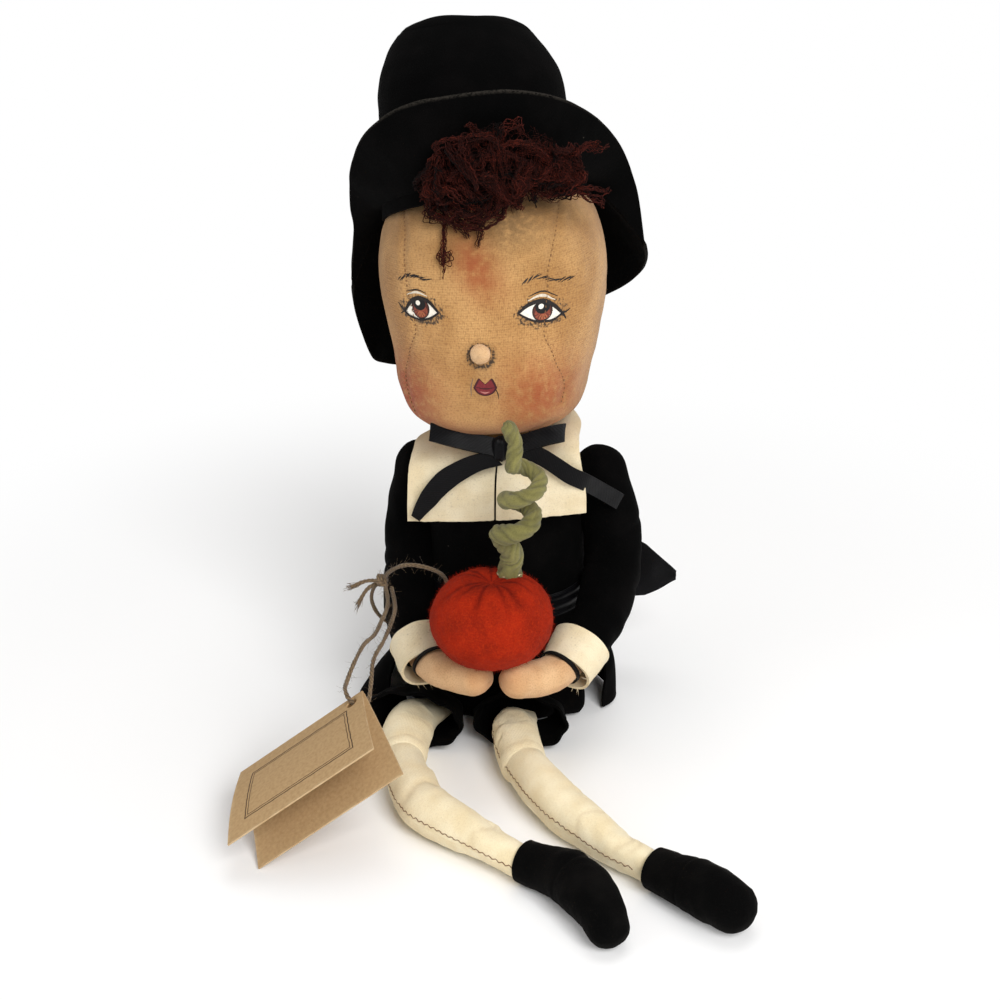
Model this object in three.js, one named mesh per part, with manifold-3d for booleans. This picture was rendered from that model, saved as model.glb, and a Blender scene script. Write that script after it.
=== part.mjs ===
// Seated pilgrim doll holding a pumpkin, as an assembly of sewn, stuffed and tied pieces.
// Millimetres, +Z up, the doll faces -Y and its own left side is +X; the floor is z = 0.
import * as THREE from "three";
import { mergeVertices } from "three/addons/utils/BufferGeometryUtils.js";
import Module from "manifold-3d";

const wasm = await Module();
wasm.setup();

// Fits and cloth thicknesses
const CLEARANCE = 0.3;
const SLIVER = 0.09;
const CLOTH = 2;
const FELT = 2.4;
const RIBBON = 1;

// Stuffed torso and seat
const SEAT_PANEL = 2;
const SEAT_HALF_WIDTH = 39;
const SEAT_HALF_DEPTH = 33;
const HIP_HEIGHT = 42;
const HIP_HALF_WIDTH = 45;
const HIP_HALF_DEPTH = 40;
const CHEST_HEIGHT = 138;
const CHEST_HALF_WIDTH = 40;
const CHEST_HALF_DEPTH = 39;
const SHOULDER_HEIGHT = 160;
const SHOULDER_HALF_WIDTH = 33;
const SHOULDER_HALF_DEPTH = 30;
const TORSO_TOP = 169;
const TORSO_TOP_RADIUS = 20;
const WEIGHT_BAG_HALF_WIDTH = 28;
const WEIGHT_BAG_HALF_DEPTH = 23;
const WEIGHT_BAG_HEIGHT = 26;

// Coat
const COAT_HEM_HEIGHT = 27;
const COAT_NECK_HEIGHT = 164;
const WAIST_HEIGHT = 68;
const SASH_WIDTH = 14;
const SKIRT_HEM_HEIGHT = 1.2;
const SKIRT_HALF_WIDTH = 69;
const SKIRT_HALF_DEPTH = 58;
const SKIRT_SHIFT = -9;
const SKIRT_WAIST_ANGLE = 6;
const SKIRT_RIGHT_ANGLE = 42;
const SKIRT_LEFT_ANGLE = 14;
const SKIRT_FOLDS = 7;
const SKIRT_FOLD_DEPTH = 3;

// Collar and neck bow
const COLLAR_HALF_WIDTH = 49;
const COLLAR_TOP = 173;
const COLLAR_FRONT_HEM = 134;
const COLLAR_NECK_RADIUS = 21.5;
const COLLAR_SLIT = 1.2;
const BOW_RIBBON_WIDTH = 9;

// Neck, dowel and head
const NECK_RADIUS = 15;
const NECK_PIVOT = 176;
const DOWEL_RADIUS = 4;
const DOWEL_BOTTOM = 118;
const DOWEL_TOP = 236;
const HEAD_LEAN = 5;
const HEAD_TURNS = [-20, -15, -10, -5, 5, 10, 15, 20];
const HEAD_HALF_WIDTH = 61;
const HEAD_FRONT_DEPTH = 58;
const HEAD_BACK_DEPTH = 57;
const HEAD_HEIGHT = 143;
const NOSE_RADIUS = 5;

// Hat
const HAT_HEIGHT = 298;
const HAT_BACK = 12;
const HAT_TILT_BACK = 22;
const HAT_LEAN = 6;
const HAT_SIDE = -3;
const CROWN_HALF_WIDTH = 55;
const CROWN_HALF_DEPTH = 61;
const CROWN_TOP_HALF_WIDTH = 44;
const CROWN_TOP_HALF_DEPTH = 44;
const CROWN_LENGTH = 88;
const CROWN_ROUNDING = 8;
const BRIM_HALF_WIDTH = 79;
const BRIM_FRONT = 91;
const BRIM_BACK = 88;
const BRIM_FRONT_RISE = 39;
const BRIM_SIDE_DROP = 36;
const BRIM_BACK_DROP = 60;
const BRIM_RIGHT_DROOP = 34;
const BRIM_RIGHT_SPREAD = 0.19;

// Arms, sleeves and cuffs
const SHOULDER_AXIS_HEIGHT = 146;
const ARM_RADIUS = 10.5;
const WRIST_RADIUS = 9;
const HAND_RADIUS = 10.5;
const SLEEVE_RADIUS = 17;
const SLEEVE_WRIST_RADIUS = 13;
const CUFF_RADIUS = 16.4;
const CUFF_LENGTH = 22;
const WIRE_RADIUS = 1;
const ARM_RANGE = [-1, 5.5, 12];

// Pumpkin and stem
const PUMPKIN_RADIUS = 33;
const PUMPKIN_HALF_HEIGHT = 25;
const PUMPKIN_GATHERS = 12;
const PUMPKIN_GATHER_DEPTH = 1.6;
const STEM_BASE_RADIUS = 6.4;
const STEM_TIP_RADIUS = 3.9;

// Legs, breeches and shoes
const HIP_AXIS_Y = -36;
const HIP_AXIS_HEIGHT = 9;
const HIP_X = { left: 15, right: -22 };
const HIP_ROLL_HALF_WIDTH = 8;
const HIP_ROLL_DEPTH = 2.5;
const LEG_RADIUS = 13.6;
const ANKLE_RADIUS = 9;
const FOOT_RADIUS = 8;
const KNEE_RADIUS = 13;
const SHOE_RADIUS = 14.4;
const SHOE_TOE_RADIUS = 10.5;

// Tag and twine
const TAG_LENGTH = 81;
const TAG_FLARE = 6;
const TAG_WIDTH = 58;
const TAG_OPENING = 23;
const CARD = 0.9;
const TAG_HOLE_RADIUS = 3.4;
const TWINE_RADIUS = 1.1;
const KNOT_RADIUS = 4;

const vec = (x, y, z) => new THREE.Vector3(x, y, z);
const X_AXIS = vec(1, 0, 0);
const Y_AXIS = vec(0, 1, 0);
const Z_AXIS = vec(0, 0, 1);
const radians = THREE.MathUtils.degToRad;
const { lerp, smoothstep } = THREE.MathUtils;

// Solid making

// Turns points and triangles into a manifold solid that faces out.
function solidOf(points, faces) {
  let volume = 0;
  for (const [a, b, c] of faces) {
    volume += points[a].dot(points[b].clone().cross(points[c]));
  }
  const facing = volume < 0 ? faces.map(([a, b, c]) => [a, c, b]) : faces;
  const geometry = new THREE.BufferGeometry();
  const flat = points.flatMap((p) => [p.x, p.y, p.z]);
  geometry.setAttribute("position", new THREE.Float32BufferAttribute(flat, 3));
  geometry.setIndex(facing.flat());
  return solidFrom(geometry);
}

// Turns a closed three.js geometry into a manifold solid.
function solidFrom(geometry) {
  const bare = geometry.clone();
  bare.deleteAttribute("normal");
  bare.deleteAttribute("uv");
  const welded = mergeVertices(bare, 1e-4);
  return new wasm.Manifold(new wasm.Mesh({
    numProp: 3,
    vertProperties: Float32Array.from(welded.attributes.position.array),
    triVerts: Uint32Array.from(welded.index.array),
  }));
}

// Skins a row of rings and closes both ends with fans.
function loft(rings) {
  const sides = rings[0].length;
  const points = rings.flat();
  const faces = [];
  for (let r = 0; r + 1 < rings.length; r += 1) {
    for (let s = 0; s < sides; s += 1) {
      const a = r * sides + s;
      const b = r * sides + ((s + 1) % sides);
      faces.push([a, b, a + sides], [b, b + sides, a + sides]);
    }
  }
  for (const [ring, start] of [[rings[0], 0], [rings.at(-1), (rings.length - 1) * sides]]) {
    const middle = ring.reduce((sum, p) => sum.add(p), vec(0, 0, 0)).divideScalar(sides);
    points.push(middle);
    for (let s = 0; s < sides; s += 1) {
      const edge = [start + s, start + ((s + 1) % sides)];
      faces.push(start === 0 ? [points.length - 1, edge[1], edge[0]] : [points.length - 1, ...edge]);
    }
  }
  return solidOf(points, faces);
}

// One elliptical ring in the plane of two directions.
function ellipse(centre, across, along, halfAcross, halfAlong, sides) {
  return Array.from({ length: sides }, (_, s) => {
    const turn = (s / sides) * Math.PI * 2;
    return centre.clone()
      .addScaledVector(across, halfAcross * Math.cos(turn))
      .addScaledVector(along, halfAlong * Math.sin(turn));
  });
}

// Gives an even thickness to a surface read at u, v in 0..1; a closed one wraps round in u.
function sheet(pointAt, columns, rows, thickness, closed = false) {
  const step = 1e-3;
  const count = closed ? columns : columns + 1;
  const front = [];
  const back = [];
  for (let i = 0; i < count; i += 1) {
    for (let j = 0; j <= rows; j += 1) {
      const u = i / columns;
      const v = j / rows;
      const low = closed ? u - step : Math.max(u - step, 0);
      const high = closed ? u + step : Math.min(u + step, 1);
      const alongU = pointAt(high, v).sub(pointAt(low, v));
      const alongV = pointAt(u, Math.min(v + step, 1)).sub(pointAt(u, Math.max(v - step, 0)));
      const normal = alongU.cross(alongV).normalize().multiplyScalar(thickness / 2);
      front.push(pointAt(u, v).add(normal));
      back.push(pointAt(u, v).sub(normal));
    }
  }
  const points = [...front, ...back];
  const half = front.length;
  const at = (i, j) => (i % count) * (rows + 1) + j;
  const faces = [];
  const quad = (a, b, c, d) => faces.push([a, b, c], [a, c, d]);
  for (let i = 0; i < columns; i += 1) {
    for (let j = 0; j < rows; j += 1) {
      quad(at(i, j), at(i + 1, j), at(i + 1, j + 1), at(i, j + 1));
      quad(half + at(i, j), half + at(i, j + 1), half + at(i + 1, j + 1), half + at(i + 1, j));
    }
    quad(at(i, 0), half + at(i, 0), half + at(i + 1, 0), at(i + 1, 0));
    quad(at(i, rows), at(i + 1, rows), half + at(i + 1, rows), half + at(i, rows));
  }
  for (let j = 0; j < rows && !closed; j += 1) {
    quad(at(0, j), at(0, j + 1), half + at(0, j + 1), half + at(0, j));
    quad(at(columns, j), half + at(columns, j), half + at(columns, j + 1), at(columns, j + 1));
  }
  return solidOf(points, faces);
}

// Reads an evenly spaced list of values at t in 0..1.
function valueAt(values, t) {
  const place = t * (values.length - 1);
  const low = Math.min(Math.floor(place), values.length - 2);
  return lerp(values[low], values[low + 1], place - low);
}

// Frames along a curve: kept upright for flattened sections, carried along without twist for round ones.
function framesAlong(curve, steps, upright) {
  const frames = [];
  for (let i = 0; i <= steps; i += 1) {
    const tangent = curve.getTangentAt(i / steps);
    const before = frames.at(-1);
    let across = tangent.clone().cross(Math.abs(tangent.z) > 0.95 ? Y_AXIS : Z_AXIS).normalize();
    if (before && !upright) {
      const carry = new THREE.Quaternion().setFromUnitVectors(before.tangent, tangent);
      across = before.across.clone().applyQuaternion(carry);
    }
    const centre = curve.getPointAt(i / steps);
    frames.push({ centre, tangent, across, lift: across.clone().cross(tangent) });
  }
  return frames;
}

// A stuffed limb along a path: widths and heights are half sizes spread evenly over its length.
function limb({ path, widths, heights = widths, sides = 12, steps = 8, domes = [1, 1] }, extra = 0) {
  const frames = framesAlong(new THREE.CatmullRomCurve3(path), steps, heights !== widths);
  const rings = frames.map(({ centre, across, lift }, i) => ellipse(centre, across, lift,
    valueAt(widths, i / steps) + extra, valueAt(heights, i / steps) + extra, sides));
  const dome = (end, sign, reach) => {
    const { centre, tangent, across, lift } = frames[end * steps];
    const wide = valueAt(widths, end) + extra;
    const tall = valueAt(heights, end) + extra;
    const length = reach * Math.min(wide, tall);
    return [30, 60, 82].map((angle) => {
      const middle = centre.clone().addScaledVector(tangent, sign * length * Math.sin(radians(angle)));
      const shrink = Math.cos(radians(angle));
      return ellipse(middle, across, lift, wide * shrink, tall * shrink, sides);
    });
  };
  if (domes[0] > 0) rings.unshift(...dome(0, -1, domes[0]).reverse());
  if (domes[1] > 0) rings.push(...dome(1, 1, domes[1]));
  return loft(rings);
}

// A round cord or wire along a path.
function cord(path, radius, { sides = 8, steps = 24, tip = radius } = {}, extra = 0) {
  return limb({ path, widths: [radius, tip], sides, steps, domes: [0, 0] }, extra);
}

// A box between two corners.
function block(low, high) {
  const size = high.clone().sub(low);
  const geometry = new THREE.BoxGeometry(size.x, size.y, size.z);
  geometry.translate(...low.clone().add(high).multiplyScalar(0.5).toArray());
  return solidFrom(geometry);
}

const FLOOR = block(vec(-400, -400, -60), vec(400, 400, 0));
const carve = (solid, ...tools) => tools.reduce((rest, tool) => rest.subtract(tool), solid);

// Keeps the largest body when a cut leaves a crumb.
function largest(solid) {
  return solid.decompose().sort((a, b) => b.volume() - a.volume())[0];
}

// Moves a solid by a rotation about an axis through a point.
function turned(solid, axis, angle, centre = vec(0, 0, 0)) {
  const matrix = new THREE.Matrix4().makeTranslation(centre.x, centre.y, centre.z)
    .multiply(new THREE.Matrix4().makeRotationAxis(axis, radians(angle)))
    .multiply(new THREE.Matrix4().makeTranslation(-centre.x, -centre.y, -centre.z));
  return solid.transform(matrix.elements);
}

// The assembly

const group = new THREE.Group();
group.name = "pilgrim_doll";

const FINISHES = {
  muslin: { color: 0xb98b55, roughness: 0.9, metalness: 0 },
  stocking: { color: 0xefe3c4, roughness: 0.9, metalness: 0 },
  skin: { color: 0xd9a878, roughness: 0.85, metalness: 0 },
  velvet: { color: 0x14110f, roughness: 0.95, metalness: 0 },
  felt: { color: 0x0e0d0c, roughness: 0.97, metalness: 0 },
  satin: { color: 0x181818, roughness: 0.4, metalness: 0 },
  linen: { color: 0xe8dcc0, roughness: 0.9, metalness: 0 },
  wool: { color: 0xc93a12, roughness: 0.95, metalness: 0 },
  sage: { color: 0x8a8a52, roughness: 0.95, metalness: 0 },
  yarn: { color: 0x5a2116, roughness: 0.9, metalness: 0 },
  card: { color: 0xb9936a, roughness: 0.85, metalness: 0 },
  jute: { color: 0x8f7a5c, roughness: 0.95, metalness: 0 },
  wood: { color: 0xc9a36b, roughness: 0.7, metalness: 0 },
  steel: { color: 0x9a9a9a, roughness: 0.4, metalness: 1 },
  pellets: { color: 0xd8d2c2, roughness: 0.9, metalness: 0 },
};

// Adds one named sub-part to the group.
function add(name, solid, finish) {
  const made = solid.simplify(SLIVER).getMesh();
  const geometry = new THREE.BufferGeometry();
  geometry.setAttribute("position", new THREE.BufferAttribute(made.vertProperties, 3));
  geometry.setIndex(new THREE.BufferAttribute(made.triVerts, 1));
  geometry.computeVertexNormals();
  const mesh = new THREE.Mesh(geometry, new THREE.MeshStandardMaterial(FINISHES[finish]));
  mesh.name = name;
  group.add(mesh);
}

// Torso, seat and neck

const torsoCurve = new THREE.CatmullRomCurve3([
  vec(SEAT_HALF_WIDTH, SEAT_HALF_DEPTH, SEAT_PANEL + CLEARANCE),
  vec(HIP_HALF_WIDTH, HIP_HALF_DEPTH, HIP_HEIGHT),
  vec(CHEST_HALF_WIDTH + 2, CHEST_HALF_DEPTH, (HIP_HEIGHT + CHEST_HEIGHT) / 2),
  vec(CHEST_HALF_WIDTH, CHEST_HALF_DEPTH, CHEST_HEIGHT),
  vec(SHOULDER_HALF_WIDTH, SHOULDER_HALF_DEPTH, SHOULDER_HEIGHT),
  vec(TORSO_TOP_RADIUS, TORSO_TOP_RADIUS, TORSO_TOP),
]);
const TORSO_SAMPLES = torsoCurve.getPoints(60);

// Half width and half depth of the torso at a height.
function torsoAt(height) {
  const index = Math.max(1, TORSO_SAMPLES.findIndex((p) => p.z >= height));
  const [low, high] = [TORSO_SAMPLES[index - 1], TORSO_SAMPLES[index]];
  return low.clone().lerp(high, (height - low.z) / (high.z - low.z));
}

function torsoForm(extra) {
  const steps = 10;
  const rings = Array.from({ length: steps + 1 }, (_, i) => {
    const { x, y, z } = torsoCurve.getPoint(i / steps);
    const shift = i === steps ? extra : 0;
    return ellipse(vec(0, 0, z + shift), X_AXIS, Y_AXIS, x + extra, y + extra, 20);
  });
  return loft(rings);
}

function weightBag(extra) {
  const bottom = SEAT_PANEL + CLEARANCE;
  const shares = [[0, 0.86], [0.3, 1], [0.7, 0.94], [1, 0.6]];
  const rings = shares.map(([rise, spread]) => {
    const height = rise === 0 ? bottom - extra : bottom + rise * WEIGHT_BAG_HEIGHT + extra;
    const wide = WEIGHT_BAG_HALF_WIDTH * spread + extra;
    const deep = WEIGHT_BAG_HALF_DEPTH * spread + extra;
    return ellipse(vec(0, 0, height), X_AXIS, Y_AXIS, wide, deep, 18);
  });
  return loft(rings);
}

const NECK = vec(0, 0, NECK_PIVOT);
const leaned = (solid) => turned(solid, Y_AXIS, -HEAD_LEAN, NECK);

const dowel = (extra) => leaned(cord(
  [vec(0, 0, DOWEL_BOTTOM - extra), vec(0, 0.01, NECK_PIVOT), vec(0, 0, DOWEL_TOP + extra)],
  DOWEL_RADIUS, { sides: 12, steps: 2 }, extra));

// Head sections as shares of its height, width, front depth and back depth
const HEAD_SECTIONS = [
  [0, 0.36, 0.4, 0.3], [0.02, 0.6, 0.64, 0.5], [0.06, 0.78, 0.83, 0.68], [0.12, 0.88, 0.94, 0.8],
  [0.22, 0.925, 0.99, 0.88], [0.34, 0.94, 1, 0.94], [0.48, 0.98, 1, 0.99], [0.62, 1, 0.98, 1],
  [0.75, 0.955, 0.92, 0.97], [0.84, 0.85, 0.8, 0.88], [0.92, 0.64, 0.6, 0.68], [0.97, 0.4, 0.38, 0.42],
  [1, 0.14, 0.14, 0.14],
];

function headForm(extra) {
  const bottom = NECK_PIVOT + 2;
  const rings = HEAD_SECTIONS.map(([rise, wide, front, back]) => {
    const end = rise === 0 ? -extra : rise === 1 ? extra : 0;
    const height = bottom + rise * HEAD_HEIGHT + end;
    return Array.from({ length: 24 }, (_, s) => {
      const turn = (s / 24) * Math.PI * 2;
      const depth = Math.sin(turn) < 0 ? front * HEAD_FRONT_DEPTH : back * HEAD_BACK_DEPTH;
      const bulge = 1 + 0.05 * Math.sin(2 * turn) ** 2;
      const x = (wide * HEAD_HALF_WIDTH + extra) * Math.cos(turn) * bulge;
      return vec(x, (depth + extra) * Math.sin(turn) * bulge, height);
    });
  });
  return leaned(loft(rings));
}

function neckForm(extra) {
  const low = TORSO_TOP + CLEARANCE - extra;
  const rings = [[low, 1.1], [TORSO_TOP + 5, 1], [NECK_PIVOT + 14, 0.9]].map(([height, spread]) =>
    ellipse(vec(0, 0, height), X_AXIS, Y_AXIS,
      NECK_RADIUS * spread + extra, NECK_RADIUS * spread + extra, 18));
  return loft(rings);
}

const head = headForm(0);
const headStill = headForm(CLEARANCE);
const neckAxis = vec(0, 0, 1).applyAxisAngle(Y_AXIS, radians(-HEAD_LEAN));
const headGrown = HEAD_TURNS.reduce((sum, angle) => sum.add(turned(headStill, neckAxis, angle, NECK)),
  headStill);

// A roll on the hip line joins each thigh to its socket in the torso.
function hipRoll(side, extra) {
  const x = HIP_X[side];
  const body = torsoAt(HIP_AXIS_HEIGHT);
  const front = -body.y * Math.sqrt(1 - (x / body.x) ** 2);
  const radius = front - HIP_AXIS_Y + HIP_ROLL_DEPTH + extra;
  return loft([-1, 1].map((end) => ellipse(
    vec(x + end * (HIP_ROLL_HALF_WIDTH + extra), HIP_AXIS_Y, HIP_AXIS_HEIGHT),
    Y_AXIS, Z_AXIS, radius, radius, 16)));
}
const hipSockets = Object.keys(HIP_X).map((side) => hipRoll(side, CLEARANCE));

const seatPanel = loft([0, SEAT_PANEL].map((height) =>
  ellipse(vec(0, 0, height), X_AXIS, Y_AXIS, SEAT_HALF_WIDTH, SEAT_HALF_DEPTH, 24)));
add("seat_panel", carve(seatPanel, ...hipSockets), "linen");
add("torso", carve(torsoForm(0), weightBag(CLEARANCE), dowel(CLEARANCE), ...hipSockets), "muslin");
add("weight_bag", weightBag(0), "pellets");
add("neck", carve(neckForm(0), headGrown, dowel(CLEARANCE)), "muslin");
add("neck_dowel", dowel(0), "wood");
add("head", carve(head, dowel(CLEARANCE)), "muslin");

// Coat body, skirt and sash

const COAT_OUT = CLEARANCE + CLOTH;
const coatShell = torsoForm(COAT_OUT)
  .intersect(block(vec(-200, -200, COAT_HEM_HEIGHT), vec(200, 200, COAT_NECK_HEIGHT)));
const coatGrown = torsoForm(COAT_OUT + CLEARANCE)
  .intersect(block(vec(-200, -200, COAT_HEM_HEIGHT - CLEARANCE),
    vec(200, 200, COAT_NECK_HEIGHT + CLEARANCE)));
const sashedGrown = torsoForm(COAT_OUT + RIBBON + 3 * CLEARANCE)
  .intersect(block(vec(-200, -200, WAIST_HEIGHT - 2), vec(200, 200, WAIST_HEIGHT + SASH_WIDTH + 4)))
  .add(torsoForm(COAT_OUT + 2 * CLEARANCE));

const SKIRT_OUT = COAT_OUT + CLEARANCE + CLOTH / 2;

function skirtPoint(u, v) {
  const left = lerp(SKIRT_WAIST_ANGLE, SKIRT_LEFT_ANGLE, v);
  const right = lerp(SKIRT_WAIST_ANGLE, SKIRT_RIGHT_ANGLE, v);
  const turn = radians(lerp(-left, 180 + right, u));
  const waist = torsoAt(WAIST_HEIGHT);
  const spread = v ** 1.25;
  const fold = SKIRT_FOLD_DEPTH * smoothstep(v, 0.1, 1) * Math.cos(turn * SKIRT_FOLDS);
  const x = lerp(waist.x + SKIRT_OUT, SKIRT_HALF_WIDTH, spread) + fold;
  const y = lerp(waist.y + SKIRT_OUT, SKIRT_HALF_DEPTH, spread) + fold;
  const height = lerp(WAIST_HEIGHT, SKIRT_HEM_HEIGHT + 0.6, v);
  return vec(x * Math.cos(turn) + SKIRT_SHIFT * spread, y * Math.sin(turn), height);
}

const skirtForm = (thickness) => sheet(skirtPoint, 30, 4, thickness);

function sashPoint(u, v) {
  const turn = u * Math.PI * 2;
  const height = WAIST_HEIGHT + CLEARANCE + 1 + v * SASH_WIDTH;
  const body = torsoAt(height);
  const out = COAT_OUT + CLEARANCE + RIBBON / 2;
  return vec((body.x + out) * Math.cos(turn), (body.y + out) * Math.sin(turn), height);
}

const SASH_KNOT_ANGLE = 66;
const SASH_KNOT = sashPoint(SASH_KNOT_ANGLE / 360, 0.5);
const sashOut = vec(SASH_KNOT.x, SASH_KNOT.y, 0).normalize();
const sashSide = vec(sashOut.y, -sashOut.x, 0);
const sashPlace = (side, out, rise) => SASH_KNOT.clone()
  .addScaledVector(sashSide, side).addScaledVector(sashOut, out).add(vec(0, 0, rise));

// A flat ribbon along a path, its width set across the path in a chosen direction.
function ribbon(path, widths, across, columns = 10, thickness = RIBBON, rows = 1) {
  const curve = new THREE.CatmullRomCurve3(path);
  return sheet((u, v) => {
    const width = valueAt(widths, u);
    const along = curve.getTangent(u);
    const side = across.clone().addScaledVector(along, -across.dot(along)).normalize();
    return curve.getPoint(u).addScaledVector(side, (v - 0.5) * width);
  }, columns, rows, thickness);
}

// A ribbon loop that leaves its knot and comes back to it.
function ribbonLoop(path, width, across, columns = 16) {
  const curve = new THREE.CatmullRomCurve3(path, true);
  return sheet((u, v) => curve.getPoint(((u % 1) + 1) % 1).addScaledVector(across, (v - 0.5) * width),
    columns, 1, RIBBON, true);
}

const KNOT_OUT = 5;
const sashKnot = (extra) => limb({
  path: [sashPlace(0, KNOT_OUT, -8), sashPlace(0, KNOT_OUT, 6)],
  widths: [4.4, 4.4], sides: 10, steps: 2, domes: [0.6, 0.6],
}, extra);
const sashKnotGrown = sashKnot(CLEARANCE);

const sashBeltGrown = sheet(sashPoint, 20, 1, RIBBON + 2 * CLEARANCE, true);
add("coat_body", carve(coatShell, torsoForm(CLEARANCE)), "velvet");
add("coat_skirt", skirtForm(CLOTH), "velvet");
add("sash", sheet(sashPoint, 20, 1, RIBBON, true), "satin");
add("sash_knot", carve(sashKnot(0), sashBeltGrown, skirtForm(CLOTH + 2 * CLEARANCE)), "satin");
add("sash_end_left", carve(ribbon(
  [sashPlace(3, KNOT_OUT, 0), sashPlace(24, 20, -4), sashPlace(46, 31, -9), sashPlace(64, 38, -14)],
  [10, 22, 30, 24, 9], Z_AXIS, 12), sashKnotGrown), "satin");
add("sash_loop_right", carve(ribbonLoop(
  [sashPlace(-2, KNOT_OUT, 1), sashPlace(-16, 9, 5), sashPlace(-32, 10, 3), sashPlace(-37, 14, -3),
    sashPlace(-30, 19, -4), sashPlace(-14, 14, 0)], 14, Z_AXIS), sashKnotGrown), "satin");
add("sash_end_right", carve(ribbon(
  [sashPlace(-2, KNOT_OUT + 1, -9.6), sashPlace(-3, 14, -22), sashPlace(-4, 23, -40),
    sashPlace(-5, 31, -60)],
  [9, 14, 16, 16], sashSide, 8), sashKnotGrown, skirtForm(CLOTH + 2 * CLEARANCE)), "satin");

// Collar and neck bow

const collarSection = new THREE.CatmullRomCurve3([
  vec(0, -45.6, COLLAR_FRONT_HEM), vec(0, -45, 148), vec(0, -41.5, 160), vec(0, -33, 169),
  vec(0, -18, COLLAR_TOP), vec(0, 0, COLLAR_TOP), vec(0, 18, COLLAR_TOP), vec(0, 32, 167),
  vec(0, 38.5, 156), vec(0, 42.5, 140),
]);

function collarPoint(u, v) {
  const side = 2 * u - 1;
  const point = collarSection.getPoint(v);
  const top = Math.sin(v * Math.PI);
  point.x = side * COLLAR_HALF_WIDTH;
  point.z += -7 * side ** 2 * top + 6 * side * (1 - v);
  point.y += 5 * side ** 2 * Math.cos(v * Math.PI);
  return point;
}

const collarForm = (thickness) => sheet(collarPoint, 12, 12, thickness);
const collarHole = loft([150, 200].map((height) =>
  ellipse(vec(0, 0, height), X_AXIS, Y_AXIS, COLLAR_NECK_RADIUS, COLLAR_NECK_RADIUS, 20)));
const collarSlit = block(vec(-COLLAR_SLIT / 2, -80, 100), vec(COLLAR_SLIT / 2, -10, 200));
const collarGrown = collarForm(CLOTH + 2 * CLEARANCE);
add("collar", largest(carve(collarForm(CLOTH), collarHole, collarSlit, coatGrown)), "linen");

const BOW_KNOT = vec(3, -46.5, 177);
const bowPlace = (x, y, z) => BOW_KNOT.clone().add(vec(x, y, z));
const bowKnot = (extra) => limb({
  path: [bowPlace(0, 0, -3.2), bowPlace(0, 0, 3.2)], widths: [4.2, 4.2], sides: 10, steps: 2,
  domes: [0.5, 0.5],
}, extra);
const bowKnotGrown = bowKnot(CLEARANCE);
const neckCurve = new THREE.CatmullRomCurve3([
  vec(20, 0, 0), vec(14, 15, 0), vec(0, 20, 0), vec(-14, 15, 0), vec(-20, 0, 0), vec(-15, -24, 0),
  vec(-2, -41, 0), vec(7, -41, 0), vec(16, -24, 0),
], true);
const neckBand = sheet((u, v) => neckCurve.getPoint(((u % 1) + 1) % 1)
  .add(vec(0, 0, COLLAR_TOP + 1.6 + 3.4 * v)),
  28, 1, RIBBON, true);
add("neck_ribbon", largest(carve(neckBand, headGrown, collarGrown, bowKnotGrown)), "satin");
add("bow_knot", carve(bowKnot(0), collarGrown, headGrown), "satin");
add("bow_loop_right", largest(carve(ribbonLoop(
  [bowPlace(-3, 0, 0.8), bowPlace(-16, 0, 3.4), bowPlace(-30, 1, 5.4), bowPlace(-37, 2, 3.6),
    bowPlace(-30, 1, -0.2), bowPlace(-16, 0, -1.6)], BOW_RIBBON_WIDTH, vec(0, 0.96, 0.28)),
bowKnotGrown, headGrown, collarGrown)), "satin");
add("bow_loop_left", largest(carve(ribbonLoop(
  [bowPlace(3, 0, 0.8), bowPlace(15, 0, 5), bowPlace(27, 1, 9.4), bowPlace(33, 2, 8.4),
    bowPlace(27, 1, 3.6), bowPlace(15, 0, -0.6)], BOW_RIBBON_WIDTH, vec(0, 0.96, 0.28)),
bowKnotGrown, headGrown, collarGrown)), "satin");
add("bow_tail_right", largest(carve(ribbon(
  [bowPlace(-2, -1.6, -6), bowPlace(-14, -1.6, -12), bowPlace(-30, -2, -24), bowPlace(-42, -1, -40),
    bowPlace(-46, 1, -47)], [8, 9.5], vec(0.78, 0, -0.6), 14),
bowKnotGrown, collarGrown, headGrown)), "satin");

// Sleeves, arms and cuffs

const SIDES = { left: 1, right: -1 };
const ARM_PATHS = {
  left: [vec(52, 0, SHOULDER_AXIS_HEIGHT), vec(60, -2, 113), vec(61, -9, 90), vec(57, -36, 73),
    vec(46, -60, 61), vec(33, -82, 61), vec(19, -92, 63)],
  right: [vec(-48, 0, SHOULDER_AXIS_HEIGHT - 3), vec(-53, -2, 109), vec(-53, -9, 86), vec(-49.5, -36, 67),
    vec(-38, -61, 57), vec(-21, -83, 60), vec(-4.5, -91, 62.5)],
};
const SHOULDER = vec(0, 0, SHOULDER_AXIS_HEIGHT);

const armForm = (side, extra) => limb({
  path: ARM_PATHS[side], sides: 10, steps: 10,
  widths: [ARM_RADIUS, ARM_RADIUS, ARM_RADIUS, ARM_RADIUS, WRIST_RADIUS, HAND_RADIUS, HAND_RADIUS],
}, extra);

// The upper arm path ends at the wrist, where the sleeve and cuff stop.
const wristPath = (side) => ARM_PATHS[side].slice(0, 5);

const sleeveForm = (side, extra) => limb({
  path: wristPath(side), sides: 12, steps: 8, domes: [0.7, 0],
  widths: [SLEEVE_RADIUS - 1, SLEEVE_RADIUS, SLEEVE_RADIUS, SLEEVE_RADIUS - 1.5, SLEEVE_WRIST_RADIUS],
}, extra);

const armWire = (side, extra) => {
  const path = ARM_PATHS[side].slice(0, 6);
  const start = path[0].clone().add(vec(0, 0, ARM_RADIUS + 2.5 + extra));
  return cord([start, ...path], WIRE_RADIUS, { sides: 6, steps: 12 }, extra);
};

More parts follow.
